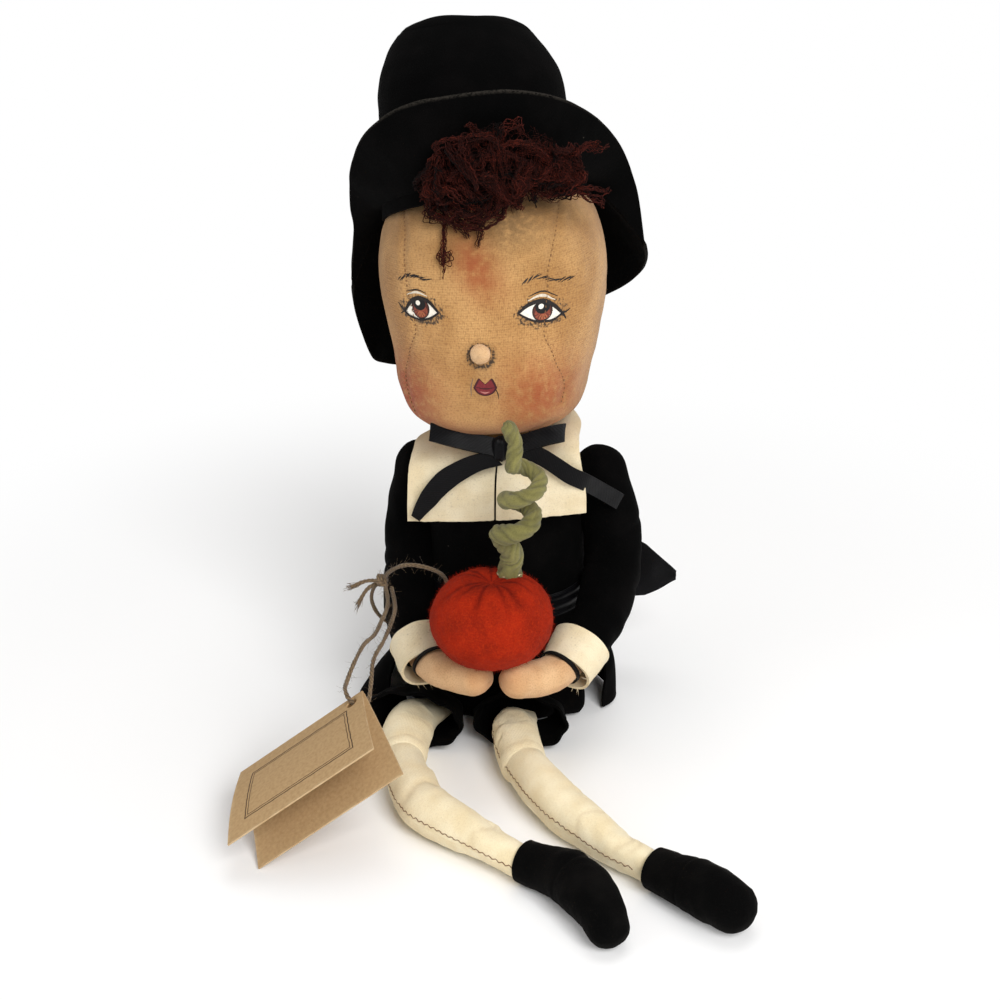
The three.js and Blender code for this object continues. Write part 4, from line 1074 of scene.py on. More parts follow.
@dataclass
class Limb:
    """A stuffed tube along a curve, with an oval section and domed ends."""

    path: Points
    widths: Sequence[float]
    heights: Sequence[float] | None = None
    domes: tuple[float, float] = (1.0, 1.0)
    level: bool = False

    def rings(self, steps: int, sides: int, grow: float = 0.0, caps: int = 6) -> Array:
        """Return the limb's sections.

        Args:
            steps: how many sections run along the curve.
            sides: how many points each section has.
            grow: how far the limb grows all round.
            caps: how many sections each dome has.

        Returns:
            The sections' points, domes included.
        """
        line = spline(self.path, steps)
        along, across, lift = frames(line, self.level)
        wide = spread(self.widths, steps) + grow
        tall = spread(self.heights or self.widths, steps) + grow
        turn = circle(sides)
        centre = [line]
        scale = [np.ones(steps)]
        pick = [np.arange(steps)]
        for end, place, sign in ((0, 0, -1), (1, steps - 1, 1)):
            if not self.domes[end]:
                continue
            angle = np.radians(np.linspace(82, 0, caps, endpoint=False))
            reach = self.domes[end] * min(wide[place], tall[place])
            cap = line[place] + sign * along[place] * (np.sin(angle) * reach)[:, None]
            order = slice(None) if end == 0 else slice(None, None, -1)
            parts = (cap[order], np.cos(angle)[order], np.full(caps, place))
            for store, part in zip((centre, scale, pick), parts):
                store.insert(0 if end == 0 else len(store), part)
        middle = np.vstack(centre)
        size = np.concatenate(scale)
        at = np.concatenate(pick)
        side = across[at][:, None] * (wide[at] * size)[:, None, None] * np.cos(turn)[None, :, None]
        rise = lift[at][:, None] * (tall[at] * size)[:, None, None] * np.sin(turn)[None, :, None]
        return middle[:, None] + side + rise


@dataclass
class Ribbon:
    """A flat ribbon along a curve, with its width set along it."""

    path: Points
    widths: Sequence[float]
    across: Points
    closed: bool = False
    thickness: float = 0.7
    cup: float = 0.0

    def rings(self, steps: int, rows: int = 7) -> Array:
        """Return the ribbon's lines of points, from one edge to the other."""
        line = spline(self.path, steps + int(self.closed), self.closed)
        if self.closed:
            line = line[:-1]
        width = spread(self.widths, steps)
        lay = np.asarray(self.across, float)
        way = unit(np.stack([spread(lay[:, k], steps) for k in range(3)], 1))
        along = unit(np.gradient(line, axis=0))
        face = unit(np.cross(along, way))
        share = np.linspace(-0.5, 0.5, rows)
        bow = self.cup * (1 - 4 * share**2)
        flat = line[None] + way[None] * width[None, :, None] * share[:, None, None]
        return flat + face[None] * bow[:, None, None]

    def piece(self, name: str, steps: int = 60, uneven: float = 0.5, seed: int = 3) -> Piece:
        """Build the ribbon as a thin shell with a slight unevenness."""
        rings = self.rings(steps)
        rings = raised(rings, uneven * ripple(rings, 14.0, seed), around=False)
        return loft(name, rings, self.closed, wall=self.thickness)

    def cut(self, steps: int = 60) -> tuple[float, float]:
        """Return the ribbon's flat width and length in metres."""
        return max(MIN_CUT, float(np.mean(spread(self.widths, 50))) * MM), spans(self.rings(steps))[0] * MM


def tube(path: Array, sizes: Array, sides: int) -> Skin:
    """Return a closed tube along a path, with its radius at each place and side."""
    _, across, lift = frames(path)
    turn = circle(sides)
    ring = across[:, None] * np.cos(turn)[None, :, None] + lift[:, None] * np.sin(turn)[None, :, None]
    return skin(path[:, None] + ring * sizes[..., None], poles=SHUT)


def twisted(
    path: Array, radius: float, sides: int = 21, plies: float = 3.0, pitch: float = 7.0
) -> Skin:
    """Return a laid cord of a few plies along a path, its ends closed.

    Args:
        path: evenly spaced points.
        radius: half the cord's thickness.
        sides: how many points each section has.
        plies: how many plies show.
        pitch: the length of one full twist.

    Returns:
        The cord's skin.
    """
    phase = circle(sides)[None] - (2 * np.pi * run_of(path) / pitch)[:, None]
    size = radius * (0.58 + 0.52 * np.abs(np.cos(plies * phase / 2)) ** 0.7)
    return tube(path, size * (1 + 0.1 * ripple(path, 6.0, 11))[:, None], sides)


def hair_of(path: Array, start: float, end: float, sides: int = 4) -> Skin:
    """Return one thin fibre or yarn along a path, tapered from its start to its end."""
    return tube(path, np.linspace(start, end, len(path))[:, None], sides)


def gathered(
    name: str, skins: Sequence[Skin], sharp: float = 80.0, shares: Sequence[float] | None = None
) -> Piece:
    """Join many skins into one object, and keep each skin's own share for the finish to read."""
    sizes = [len(part.points) for part in skins]
    starts = np.cumsum([0] + sizes).tolist()
    faces = [[start + k for k in face] for start, part in zip(starts, skins) for face in part.faces]
    corners = [spot for part in skins for spot in part.corners]
    piece = shown(name, Skin(np.vstack([part.points for part in skins]), faces, corners), sharp)
    if shares is not None:
        paint_share(piece, "strand", np.repeat(shares, sizes))
    return piece


# Studio


@dataclass
class Studio:
    """Camera at the photograph's place, soft lamps, and a plain pale floor."""

    eye: Place = (0.141943, -1.009977, 0.612067)
    target: Place = (-0.003882, 0.0, 0.124289)
    lamp_target: Place = (0.0, -0.05, 0.15)
    lens: float = 72.0
    sensor: float = 36.0
    floor_size: float = 6.0
    floor_fade: tuple[float, float] = (0.16, 0.5)

    def aim(self, name: str, data: Any, place: Sequence[float], target: Sequence[float]) -> Piece:
        """Put a camera or a lamp at a place, turned to a target."""
        holder = linked(name, data)
        holder.location = place
        holder.rotation_euler = (Vector(target) - Vector(place)).to_track_quat("-Z", "Y").to_euler()
        return holder

    def build(self) -> None:
        """Set up the view, the light and the floor."""
        scene = bpy.context.scene
        scene.view_settings.view_transform = "Standard"
        view = bpy.data.cameras.new("photo_view")
        view.lens = self.lens
        view.sensor_width = self.sensor
        scene.camera = self.aim("photo_view", view, self.eye, self.target)
        for name, place, size, power in (
            ("key_softbox", (0.85, -1.4, 1.35), 1.0, 34.0),
            ("fill_softbox", (-1.4, -1.0, 0.9), 1.4, 5.5),
            ("top_softbox", (0.1, 0.4, 1.8), 1.2, 10.0),
        ):
            lamp = bpy.data.lights.new(name, "AREA")
            lamp.energy = power
            lamp.size = size
            self.aim(name, lamp, place, self.lamp_target)
        self.sky()
        self.floor()

    def sky(self) -> None:
        """Give an even soft light, and a white background to the camera and to reflections."""
        world = bpy.data.worlds.new("studio")
        bpy.context.scene.world = world
        world.use_nodes = True
        tree = world.node_tree
        tree.nodes.clear()
        soft = add(tree, "ShaderNodeBackground", {"Color": (1.0, 0.985, 0.965, 1.0), "Strength": 0.34})
        white = add(tree, "ShaderNodeBackground", {"Color": (1, 1, 1, 1), "Strength": 1.0})
        ray = add(tree, "ShaderNodeLightPath").outputs
        sharp = add(
            tree, MATH, {0: ray["Is Camera Ray"], 1: ray["Is Transmission Ray"]}, operation="MAXIMUM"
        )
        mix = add(tree, "ShaderNodeMixShader", {0: sharp, 1: soft, 2: white})
        add(tree, "ShaderNodeOutputWorld", {"Surface": mix})

    def floor(self) -> None:
        """Lay the pale floor, which fades to white away from the doll."""
        half = self.floor_size / 2
        mesh = bpy.data.meshes.new("studio_floor")
        corners = [(-half, -half, 0), (half, -half, 0), (half, half, 0), (-half, half, 0)]
        mesh.from_pydata(corners, [], [(0, 1, 2, 3)])
        floor = linked("studio_floor", mesh)
        material, tree, shader = blank(
            "white_paper_sweep", Base_Color=(0.95, 0.95, 0.95, 1.0), Roughness=1.0, Specular_IOR_Level=0.0
        )
        place = add(tree, "ShaderNodeTexCoord").outputs["Object"]
        away = add(tree, VECTOR, {0: place}, operation="LENGTH").outputs["Value"]
        seen = add(tree, "ShaderNodeLightPath").outputs["Is Camera Ray"]
        fade = add(
            tree, RANGE,
            {"Value": away, "From Min": self.floor_fade[0], "From Max": self.floor_fade[1], "To Max": seen},
            interpolation_type="SMOOTHSTEP",
        )
        glow = add(tree, "ShaderNodeEmission", {"Color": (1, 1, 1, 1), "Strength": 1.0})
        mix = add(tree, "ShaderNodeMixShader", {0: fade, 1: shader, 2: glow})
        tree.links.new(mix.outputs[0], tree.nodes["Material Output"].inputs["Surface"])
        mesh.materials.append(material)


# Twine and tag


class Leaf(Enum):
    """The two leaves of the folded tag, with the angle that each opens by."""

    BACK = 0.0
    COVER = 23.0


@dataclass
class Tag:
    """A folded kraft card on jute twine, tied about the right sleeve."""

    knot: Place = (-64.0, -43.0, 91.0)
    fold_start: Place = (-56.7, -133.1, 73.0)
    fold_way: Place = (-0.79, -0.156, -0.593)
    fall_way: Place = (0.426, -0.835, -0.348)
    length: float = 81.0
    width: float = 58.0
    flare: float = 6.0
    card: float = 0.9
    hole_inset: float = 6.5
    hole_radius: float = 3.4
    twine_radius: float = 1.1
    fold_radius: float = 0.62
    curl: float = 2.2
    ruled: Points = ((10.5, 0.5), (12.2, 0.3))

    def at(self, leaf: Leaf, along: Any, down: Any, off: Any = 0.0) -> Array:
        """Return the place of a point on a leaf, by its distances along the fold, from it and off it."""
        fold = unit(np.array(self.fold_way))
        fall = np.array(self.fall_way)
        fall = unit(fall - fold * (fall @ fold))
        normal = np.cross(fold, fall)
        angle = math.radians(leaf.value)
        way = fall * math.cos(angle) + normal * math.sin(angle)
        out = normal * math.cos(angle) - fall * math.sin(angle)
        along, down, off = (np.asarray(value, float)[..., None] for value in (along, down, off))
        return np.array(self.fold_start) + fold * along + way * down + out * off

    def near_knot(self, *points: Place) -> list[Array]:
        """Return points given from the knot."""
        return [np.array(self.knot) + np.array(point) for point in points]

    def strand_path(self) -> Array:
        """Return the twine from the knot, through the tag's holes and back to the knot."""
        inset = self.hole_inset - (self.hole_radius - self.twine_radius - 0.3)
        path = self.near_knot(
            (2, -2, -2), (6.5, -18, -5), (6, -35, -7), (5, -47, -8), (2, -60, -7), (0, -75, -9)
        )
        path += [
            self.at(Leaf.COVER, 6, -8, 6),
            self.at(Leaf.COVER, 6.4, 0, 7),
            self.at(Leaf.COVER, self.hole_inset, inset, 4),
            self.at(Leaf.BACK, self.hole_inset, inset, -4),
            self.at(Leaf.BACK, 4, 1, -9),
            self.at(Leaf.BACK, -1, -9, -10),
        ]
        path += self.near_knot(
            (8, -66, -13), (10, -48, -11), (11, -34, -9), (10.5, -18, -7), (5.5, -1.5, -3.5)
        )
        return spline(path, 420)

    def loop_path(self) -> Array:
        """Return the twine that goes once round the sleeve."""
        path = self.near_knot(
            (0, 0, 0), (7, -6, 10), (17, -10, 16), (29, -9, 14), (36, -1, 4), (36, 2, -10), (33, 5, -24),
            (15, 12, -38), (-3, 12, -31), (-8, 8, -18), (-6, 5, -8), (-0.5, 0.5, -0.5),
        )
        return spline(path, 230)

    def hairs(self, path: Array, count: int, seed: int) -> list[Skin]:
        """Return loose fibres that stand off a twine."""
        chance = np.random.default_rng(seed)
        made = []
        for _ in range(count):
            spot = chance.integers(4, len(path) - 4)
            along = unit(path[spot + 3] - path[spot - 3]) * chance.choice((-1.0, 1.0))
            off = unit(chance.normal(size=3))
            way = unit(0.8 * along + off)
            bend = unit(chance.normal(size=3)) * chance.uniform(0.5, 2.4)
            step = np.linspace(0, 1, 5)[:, None]
            start = path[spot] + 0.7 * off
            reach = start + way * chance.uniform(2.0, 5.5) * step + bend * step**2
            made.append(hair_of(reach, 0.07, 0.03, 3))
        return made

    def build_twine(self) -> None:
        """Make the strand, the loop and the knot with its two cut ends."""
        strand = self.strand_path()
        loop = self.loop_path()
        for name, path, body, lay in (
            ("twine_strand", strand, "tag", "hanging"),
            ("twine_loop", loop, "right_arm", "taut"),
        ):
            piece = gathered(name + "_jute", [twisted(path, self.twine_radius)])
            fit(piece, body, "jute", name)
        turn = np.linspace(0, 2 * np.pi * 2.6, 90)
        coil = np.stack([np.linspace(-2.4, 2.4, 90), 2.5 * np.cos(turn), 2.5 * np.sin(turn)], 1) + self.knot
        cross = spline(self.near_knot((-3, -2.4, 1), (-1, -3.7, 0.4), (1.5, -3.4, -1), (3, -1.6, -2)), 30)
        core = spline(self.near_knot((-3, 0, 0), (0, 0.3, 0.2), (3, 0, 0)), 24)
        ends = [
            spline(self.near_knot((-2, -1, 0), (-8, -5, 1.5), (-16, -9, -1)), 40),
            spline(self.near_knot((-2, 1, -2), (-8, -2, -5), (-13, -6, -13)), 40),
        ]
        parts = [twisted(coil, 1.15), twisted(cross, 1.1), twisted(core, 1.5)]
        parts += [twisted(end, self.twine_radius) for end in ends]
        for n, end in enumerate(ends):
            way = unit(end[-1] - end[-4])
            chance = np.random.default_rng(40 + n)
            for _ in range(30):
                drift = way * chance.uniform(1.5, 5.0) + chance.normal(size=3) * 0.9
                start = end[-2] - way * chance.uniform(0, 4) + chance.normal(size=3) * 0.6
                parts.append(hair_of(start + drift * np.linspace(0, 1, 4)[:, None], 0.2, 0.08, 3))
        parts += self.hairs(coil, 50, 8) + self.hairs(loop[:110], 110, 9)
        fit(gathered("twine_knot_jute", parts), "right_arm", "jute", "twine_knot")
        fit(gathered("twine_strand_hairs", self.hairs(strand, 260, 10)), "tag", "jute")

    def leaf_at(self, leaf: Leaf, along: Array, down: Array, lift: float = 0.0) -> Array:
        """Return points of a leaf's middle, curled as the card has set, or lifted off its outer face."""
        bowed = np.sin(np.pi * np.clip(down / self.width, 0, 1))
        curl = self.curl * bowed * (0.6 + 0.4 * along / self.length)
        sign = 1.0 if leaf is Leaf.COVER else -0.6
        base = math.copysign(self.card / 2 + 0.3, sign)
        return self.at(leaf, along, down, base + sign * curl + lift)

    def leaf_edge(self, inset: float) -> Array:
        """Return the outline of a leaf, along the fold and down from it, drawn in by an inset."""
        down = np.linspace(0.6 + inset, self.width - inset, 24)
        across = np.linspace(0, 1, 34)
        edge = [(a, down[0]) for a in across[:-1]] + [(1.0, d) for d in down[:-1]]
        edge += [(a, down[-1]) for a in across[:0:-1]] + [(0.0, d) for d in down[:0:-1]]
        rim = np.array(edge)
        flared = (2 * rim[:, 0] - 1) * self.flare * rim[:, 1] / self.width
        rim[:, 0] = inset + rim[:, 0] * (self.length - 2 * inset) + flared
        return rim

    def build_leaves(self) -> None:
        """Make the two card leaves, with a plain ruled frame on the cover and no print."""
        rim = self.leaf_edge(0.0)
        centre = np.array((self.hole_inset, self.hole_inset))
        ring = centre + unit(rim - centre) * self.hole_radius
        share = np.linspace(0, 1, 44)[:, None, None]
        flat = lerp(ring[None], rim[None], share)
        near = np.broadcast_to(ease(share[..., 0], 0.97, 1.0), flat.shape[:2])
        for leaf, name, body in ((Leaf.BACK, "tag_back", "tag"), (Leaf.COVER, "tag_cover", "tag_cover")):
            rings = self.leaf_at(leaf, flat[..., 0], flat[..., 1])
            piece = loft(name + "_card", rings, wall=self.card, sharp=40, flat=flat)
            broken = np.clip(near * (0.4 + 0.5 * ripple(rings, 5.0, 21)), 0, 0.6)
            paint_share(piece, "scuff", broken)
            fit(piece, body, "card", name)
        # the fold stays inside the leaves' edges, so the cover turns about it without touching
        fold = self.at(Leaf.BACK, np.linspace(0, self.length, 24), np.zeros(24))
        core = hair_of(fold, self.fold_radius, self.fold_radius, 10)
        fit(gathered("tag_fold_card", [core]), "tag", "card")
        lines = []
        for inset, wide in self.ruled:
            pair = np.stack([self.leaf_edge(inset), self.leaf_edge(inset + wide)])
            pair = pair + 0.12 * np.sin(pair[..., :1] * 0.7 + pair[..., 1:] * 0.9)
            drawn = self.leaf_at(Leaf.COVER, pair[..., 0], pair[..., 1], self.card / 2 + 0.06)
            lines.append(skin(drawn, wall=0.08))
        fit(gathered("tag_cover_frame_ink", lines), "tag_cover", "card", finish="ink")


# Legs


@dataclass
class Leg:
    """A stuffed calico leg in two joined halves, with a velvet shoe and breeches."""

    side: Side
    thigh: Points
    shin: Points
    shoe: Points
    breeches: Points
    breeches_widths: Sequence[float]
    creases: Points
    floor_gap: float = 0.25
    rest_height: float = 2.0

    def stand(self, points: Array) -> Array:
        """Keep points above the floor, flattening where the leg rests."""
        made = points.copy()
        low = made[..., 2]
        sunk = np.minimum(0, (low - self.rest_height) / 2.2)
        pressed = self.floor_gap + (self.rest_height - self.floor_gap) * np.exp(sunk)
        made[..., 2] = np.where(low < self.rest_height, pressed, low)
        return made

    def calico(self, name: str, limb: Limb, steps: int, creases: Points) -> Piece:
        """Make one stuffed half of the leg, swelled and creased."""
        rings = limb.rings(steps, 52, grow=-0.5)
        piece = loft(name, self.stand(rings), poles=SHUT)
        stuff(piece, pressure=2.2, cap=1.3, slack=0.045)
        core = corners_of(piece)[: rings[..., 0].size].reshape(rings.shape)
        push = np.zeros(rings.shape[:2])
        crease_shade = np.zeros_like(push)
        share, turn = places(rings)
        for at, toward, depth in creases:
            wander = 0.012 * np.sin(3 * turn + 9 * at)
            face = np.clip(np.cos(turn - math.radians(toward)), 0, 1) ** 0.6
            push -= depth * bell(share + wander, at, 0.013) * face
            push += 0.3 * depth * bell(share + wander, at - 0.045, 0.03) * face
            push += 0.2 * depth * bell(share + wander, at + 0.05, 0.032) * face
            crease_shade += 0.5 * bell(share + wander, at, 0.01) * face
        push += 0.18 * ripple(core, 18.0, 31) + 0.14 * ripple(core * (1, 1, 0.35), 6.0, 32)
        move_to(piece, self.stand(raised(core, push)))
        # the crease lines are painted darker, a painted shade where the cloth folds in
        paint_share(piece, "blush_and_shade", crease_shade)
        return piece

    def build(self, stitches: Tree) -> None:
        """Make the leg's pieces and set them on the leg's two bodies."""
        side = self.side.value
        upper = Limb(self.thigh, (9, 12.6, 13.6, 13), (3.4, 11, 13.6, 13), domes=(0.5, 1.0), level=True)
        lower = Limb(self.shin, (12.3, 13.5, 13.6, 12.1, 10, 9, 8), domes=(0.9, 1.0), level=True)
        thigh = self.calico(side + "_thigh_calico", upper, 44, ((0.86, 90, 0.3), (0.62, 140, 0.25)))
        fit(thigh, side + "_leg", "stocking", side + "_thigh", fill=0.85)
        shin = self.calico(side + "_shin_calico", lower, 96, self.creases)
        fit(shin, side + "_foot", "stocking", side + "_shin", fill=0.85)
        plans = (("thigh", thigh, upper, 58, 112, "_leg"), ("leg", shin, lower, 1, 92, "_foot"))
        for name, piece, limb, first, last, body in plans:
            thread = grown(
                side + "_" + name + "_topstitch", self.seam_line(piece, limb, first, last), stitches,
                Pitch=0.00115, Half_Length=0.00075, Half_Width=0.00028, Seed=4, Finish=FINISHES["thread"],
            )
            fit(thread, side + body, "stocking")
        self.velvet_shoe()
        self.velvet_breeches()

    def seam_line(self, piece: Piece, limb: Limb, first: int, last: int) -> Piece:
        """Return the zigzag line of the brown seam along a stuffed half's outer side.

        Args:
            piece: the stuffed half.
            limb: the line that it was made on.
            first: where the seam starts, of the places along the limb.
            last: where it ends.

        Returns:
            A bare line for stitches to follow.
        """
        line = spline(limb.path, SEAM_PLACES)
        _, across, lift = frames(line, level=True)
        way = unit(across * 0.96 + lift * 0.2)
        found = seam_path(surface_of(piece), line[first:last], way[first:last])
        count = max(8, int(length_of(found) / 2.0))
        even = spline(found, count)
        heading, _, _ = frames(even)
        aside = unit(np.cross(heading, way[first]))
        # the zigzag steps every 2 mm, half a millimetre to each side of the seam
        zigzag = even + aside * (0.5 * (-1.0) ** np.arange(count))[:, None]
        return thread_line("seam_line", [zigzag])

    def velvet_shoe(self) -> None:
        """Make the velvet shoe, a stuffed toe with an open ankle edge."""
        side = self.side.value
        widths = (11.3, 12, 13.8, 14.4, 12.8, 10.5)[: len(self.shoe)]
        limb = Limb(self.shoe, widths, domes=(0.0, 0.9), level=True)
        rings = limb.rings(60, 48)
        bumps = 0.35 * ripple(rings, 13.0, 51) + 0.15 * ripple(rings, 5.0, 52)
        seam = -0.45 * bell(places(rings)[0], 0.42, 0.012)
        rings = self.stand(raised(rings, bumps + seam))
        piece = loft(side + "_shoe_velvet", rings, poles=SHUT)
        fit(piece, side + "_foot", "velvet", side + "_shoe", finish="plush", fill=0.8)

    def velvet_breeches(self) -> None:
        """Make the short velvet breeches about the thigh, gathered towards the hip."""
        limb = Limb(
            self.breeches, self.breeches_widths, (8.6, 15.2, 16.6), domes=(0.0, 0.0), level=True
        )
        rings = limb.rings(40, 90, grow=-1.0)
        share, turn = places(rings)
        folds = 0.7 * np.cos(9 * turn + 3 * share) * ease(share, 0.1, 0.9) + 0.4 * ripple(rings, 12.0, 53)
        rings = self.stand(raised(rings, folds))
        side = self.side.value
        fit(
            loft(side + "_breeches_velvet", rings, wall=1.6), side + "_leg", "velvet",
            side + "_breeches", held=Hold.GATHERED, cut=cut_of(rings, True), rests_on=[side + "_thigh"],
        )


# Torso and coat


TORSO = ((39, 33, 2.3), (45, 40, 42), (42, 39, 90), (40, 39, 138), (33, 30, 160), (20, 20, 169))


def torso_at(heights: Array) -> tuple[Array, Array]:
    """Return the torso's half width and half depth at some heights."""
    line = spline(TORSO, 200)
    return np.interp(heights, line[:, 2], line[:, 0]), np.interp(heights, line[:, 2], line[:, 1])


def torso_rings(low: float, high: float, grow: float, rows: int, cols: int) -> Array:
    """Return sections of the torso between two heights, grown all round."""
    z = np.linspace(low, high, rows)
    wide, deep = torso_at(z)
    return ovals((wide + grow)[:, None], (deep + grow)[:, None], z[:, None], circle(cols)[None])


@dataclass
class Torso:
    """The stuffed muslin body with the velvet seat of the breeches, its weight bag, neck and dowel."""

    neck_radius: float = 15.0
    neck_heights: tuple[float, float] = (169.4, 186.0)
    velvet_top: float = 0.03
    lap: Points = ((-51, -21, 12), (-34, -29, 13), (-5, -35.5, 13), (18, -32.5, 13), (45, -23, 13))

    def build(self) -> None:
        """Make the body's pieces."""
        rings = torso_rings(2.4, 168.6, -0.2, 60, 72)
        rings = raised(rings, 0.25 * ripple(rings, 20.0, 61) - 0.25)
        body = loft("torso_muslin", rings, poles=SHUT)
        body.data.materials.append(FINISHES["muslin"])
        body.data.materials.append(FINISHES["velvet"])
        for face in body.data.polygons:
            face.material_index = int(face.center.z < self.velvet_top)
        fit(body, "torso", "muslin", "torso", fill=0.9)
        lap = Limb(self.lap, (4, 5.5, 5.5, 5.5, 4), (9.6, 11, 11, 11, 10.6), level=True)
        roll = lap.rings(70, 40)
        roll = raised(roll, 0.4 * ripple(roll, 10.0, 63))
        seat = loft("breeches_seat_velvet", roll, poles=SHUT)
        fit(seat, "torso", "velvet", fill=0.6)
        level = np.linspace(0, 1, 26)[:, None]
        size = np.interp(level, (0, 0.08, 0.3, 0.7, 0.92, 1), (0.8, 0.94, 0.99, 0.92, 0.7, 0.42))
        turn = circle(56)[None]
        bag = ovals(28 * size, 23 * size, 2.5 + 25.4 * level, turn)
        pucker = 0.5 * np.cos(11 * turn) * ease(level, 0.6, 1.0)
        bag = raised(bag, pucker + 0.3 * ripple(bag, 9.0, 62) - 0.4)
        pouch = loft("weight_pouch", bag, poles=SHUT)
        fit(pouch, "torso", "pellets", "weight_bag", fill=0.7)
        rise = np.linspace(*self.neck_heights, 14)[:, None]
        radius = self.neck_radius * np.interp(rise, self.neck_heights, (1.08, 0.92))
        neck = raised(ovals(radius, radius, rise, turn), 0.3 * np.cos(13 * turn) - 0.3)
        stub = loft("neck_muslin", neck, poles=SHUT)
        fit(stub, "torso", "muslin", "neck", fill=0.9)
        for node, finish in (
            ("seat_panel", "velvet"),
            ("neck_dowel", "wood"),
            ("left_arm_wire", "steel"),
            ("right_arm_wire", "steel"),
        ):
            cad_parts[node].data.materials.clear()
            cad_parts[node].data.materials.append(FINISHES[finish])


@dataclass
class Coat:
    """The black velvet coat: body, flared skirt, satin sash with its bow, and white collar."""

    waist: float = 68.0
    hem: float = 1.8
    skirt_reach: tuple[float, float] = (69.0, 58.0)
    sash_edges: tuple[float, float] = (69.5, 83.1)
    sash_knot: tuple[float, float] = (66.0, 76.3)
    slit: float = 0.6
    collar_half: float = 49.0
    neck_hole: float = 21.5

    def build(self) -> None:
        """Make the coat's pieces."""
        rings = torso_rings(27.2, 168.2, 1.3, 90, 120)
        rings = raised(rings, 0.35 * ripple(rings, 18.0, 71))
        body = loft("coat_body_velvet", rings, wall=1.6)
        fit(
            body, "torso", "velvet", "coat_body",
            held=Hold.STRETCHED, cut=cut_of(rings, True), rests_on=["torso"],
        )
        skirt = self.skirt_rings(34, 180)
        piece = loft("coat_skirt_velvet", skirt, around=False, wall=1.6)
        fit(
            piece, "torso", "velvet", "coat_skirt",
            held=Hold.GATHERED, cut=cut_of(skirt), rests_on=["coat_body"],
        )
        self.sash()
        self.collar()

    def skirt_rings(self, rows: int, cols: int) -> Array:
        """Return the flared skirt's points, open at the front."""
        v = np.linspace(0, 1, rows)[:, None]
        u = np.linspace(0, 1, cols)[None]
        left = lerp(6, 14, v)
        right = lerp(6, 42, v)
        turn = np.radians(lerp(-left, 180 + right, u))
        wide, deep = torso_at(np.array([self.waist]))
        out = v**1.25
        fold = 3 * ease(v, 0.1, 1) * np.cos(7 * turn)
        x = lerp(wide[0] + 3.6, self.skirt_reach[0], out) + fold
        # the flare stands further off the doll's sides than off its back
        x = x + 8 * ease(v, 0.25, 0.85) * bell(turn, math.radians(196), 0.42)
        x = x + 6 * bell(v, 0.62, 0.3) * bell(turn, 0.0, 0.4)
        y = lerp(deep[0] + 3.6, self.skirt_reach[1], out) + fold
        z = np.broadcast_to(lerp(self.waist, self.hem, v), x.shape)
        made = np.stack([x * np.cos(turn) - 9 * out, y * np.sin(turn), z], -1)
        small = 0.6 * ripple(made, 16.0, 72) * ease(v, 0.05, 0.5)
        made = raised(made, small, around=False)
        made[..., 2] = np.maximum(made[..., 2], 1.0)
        return made

    def sash_place(self, side: float, out: float, rise: float) -> Array:
        """Return a point by its distances from the sash's knot: aside, outward and up."""
        degrees, height = self.sash_knot
        wide, deep = torso_at(np.array([height]))
        turn = math.radians(degrees)
        knot = np.array(((wide[0] + 3.1) * math.cos(turn), (deep[0] + 3.1) * math.sin(turn), height))
        away = unit(np.array((knot[0], knot[1], 0.0)))
        aside = np.array((away[1], -away[0], 0.0))
        return knot + aside * side + away * out + np.array((0, 0, rise))

    def sash(self) -> None:
        """Make the sash and the bow at its back."""
        band = torso_rings(*self.sash_edges, 2.9, 16, 160)
        share, turn = places(band)
        pleat = 0.35 * np.cos(2 * np.pi * 2.5 * share + 0.8 * np.sin(2 * turn))
        pleat = pleat + 0.2 * ripple(band, 9.0, 73)
        band = raised(band, pleat)
        piece = loft("sash_satin", band, wall=0.9)
        fit(
            piece, "torso", "satin", "sash",
            held=Hold.STRETCHED, cut=cut_of(band, True), rests_on=["coat_body"],
        )
        upright = ((0, 0, 1), (0, 0, 1))
        aside = self.sash_place(1, 0, 0) - self.sash_place(0, 0, 0)
        left = ((3, 5, 0), (24, 20, -7), (46, 31, -14), (66, 39, -16))
        right = ((-2, 6, -9.6), (-3, 14, -22), (-4, 23, -40), (-5, 31, -60))
        plans = (
            ("sash_end_left", left, (10, 30, 46, 34, 6), upright),
            ("sash_end_right", right, (10, 14, 16, 16), (aside, aside)),
        )
        for name, spots, widths, across in plans:
            ribbon = Ribbon([self.sash_place(*p) for p in spots], widths, across, thickness=0.8, cup=1.2)
            fit(
                ribbon.piece(name + "_satin", 70, 0.8, 74), "torso", "satin", name,
                held=Hold.HUNG, cut=ribbon.cut(70), rests_on=["sash_knot"],
            )
        spots = ((-2, 5, 1), (-16, 9, 5), (-32, 10, 3), (-37, 14, -3), (-30, 19, -4), (-14, 14, 0))
        loop = Ribbon([self.sash_place(*p) for p in spots], (14, 14), upright, closed=True, thickness=0.8)
        fit(
            loop.piece("sash_loop_right_satin", 80, 0.5, 75), "torso", "satin", "sash_loop_right",
            held=Hold.FOLDED, cut=loop.cut(80), rests_on=["sash_knot"],
        )
        knot = Limb([self.sash_place(0, 5, -8), self.sash_place(0, 5, 6)], (4.4, 4.6, 4.4))
        rings = knot.rings(24, 40, grow=-0.2)
        turn = places(rings)[1]
        rings = raised(rings, 0.3 * np.cos(7 * turn + 0.6 * np.sin(turn)))
        piece = loft("sash_knot_satin", rings, poles=SHUT)
        fit(piece, "torso", "satin", "sash_knot", fill=0.5)

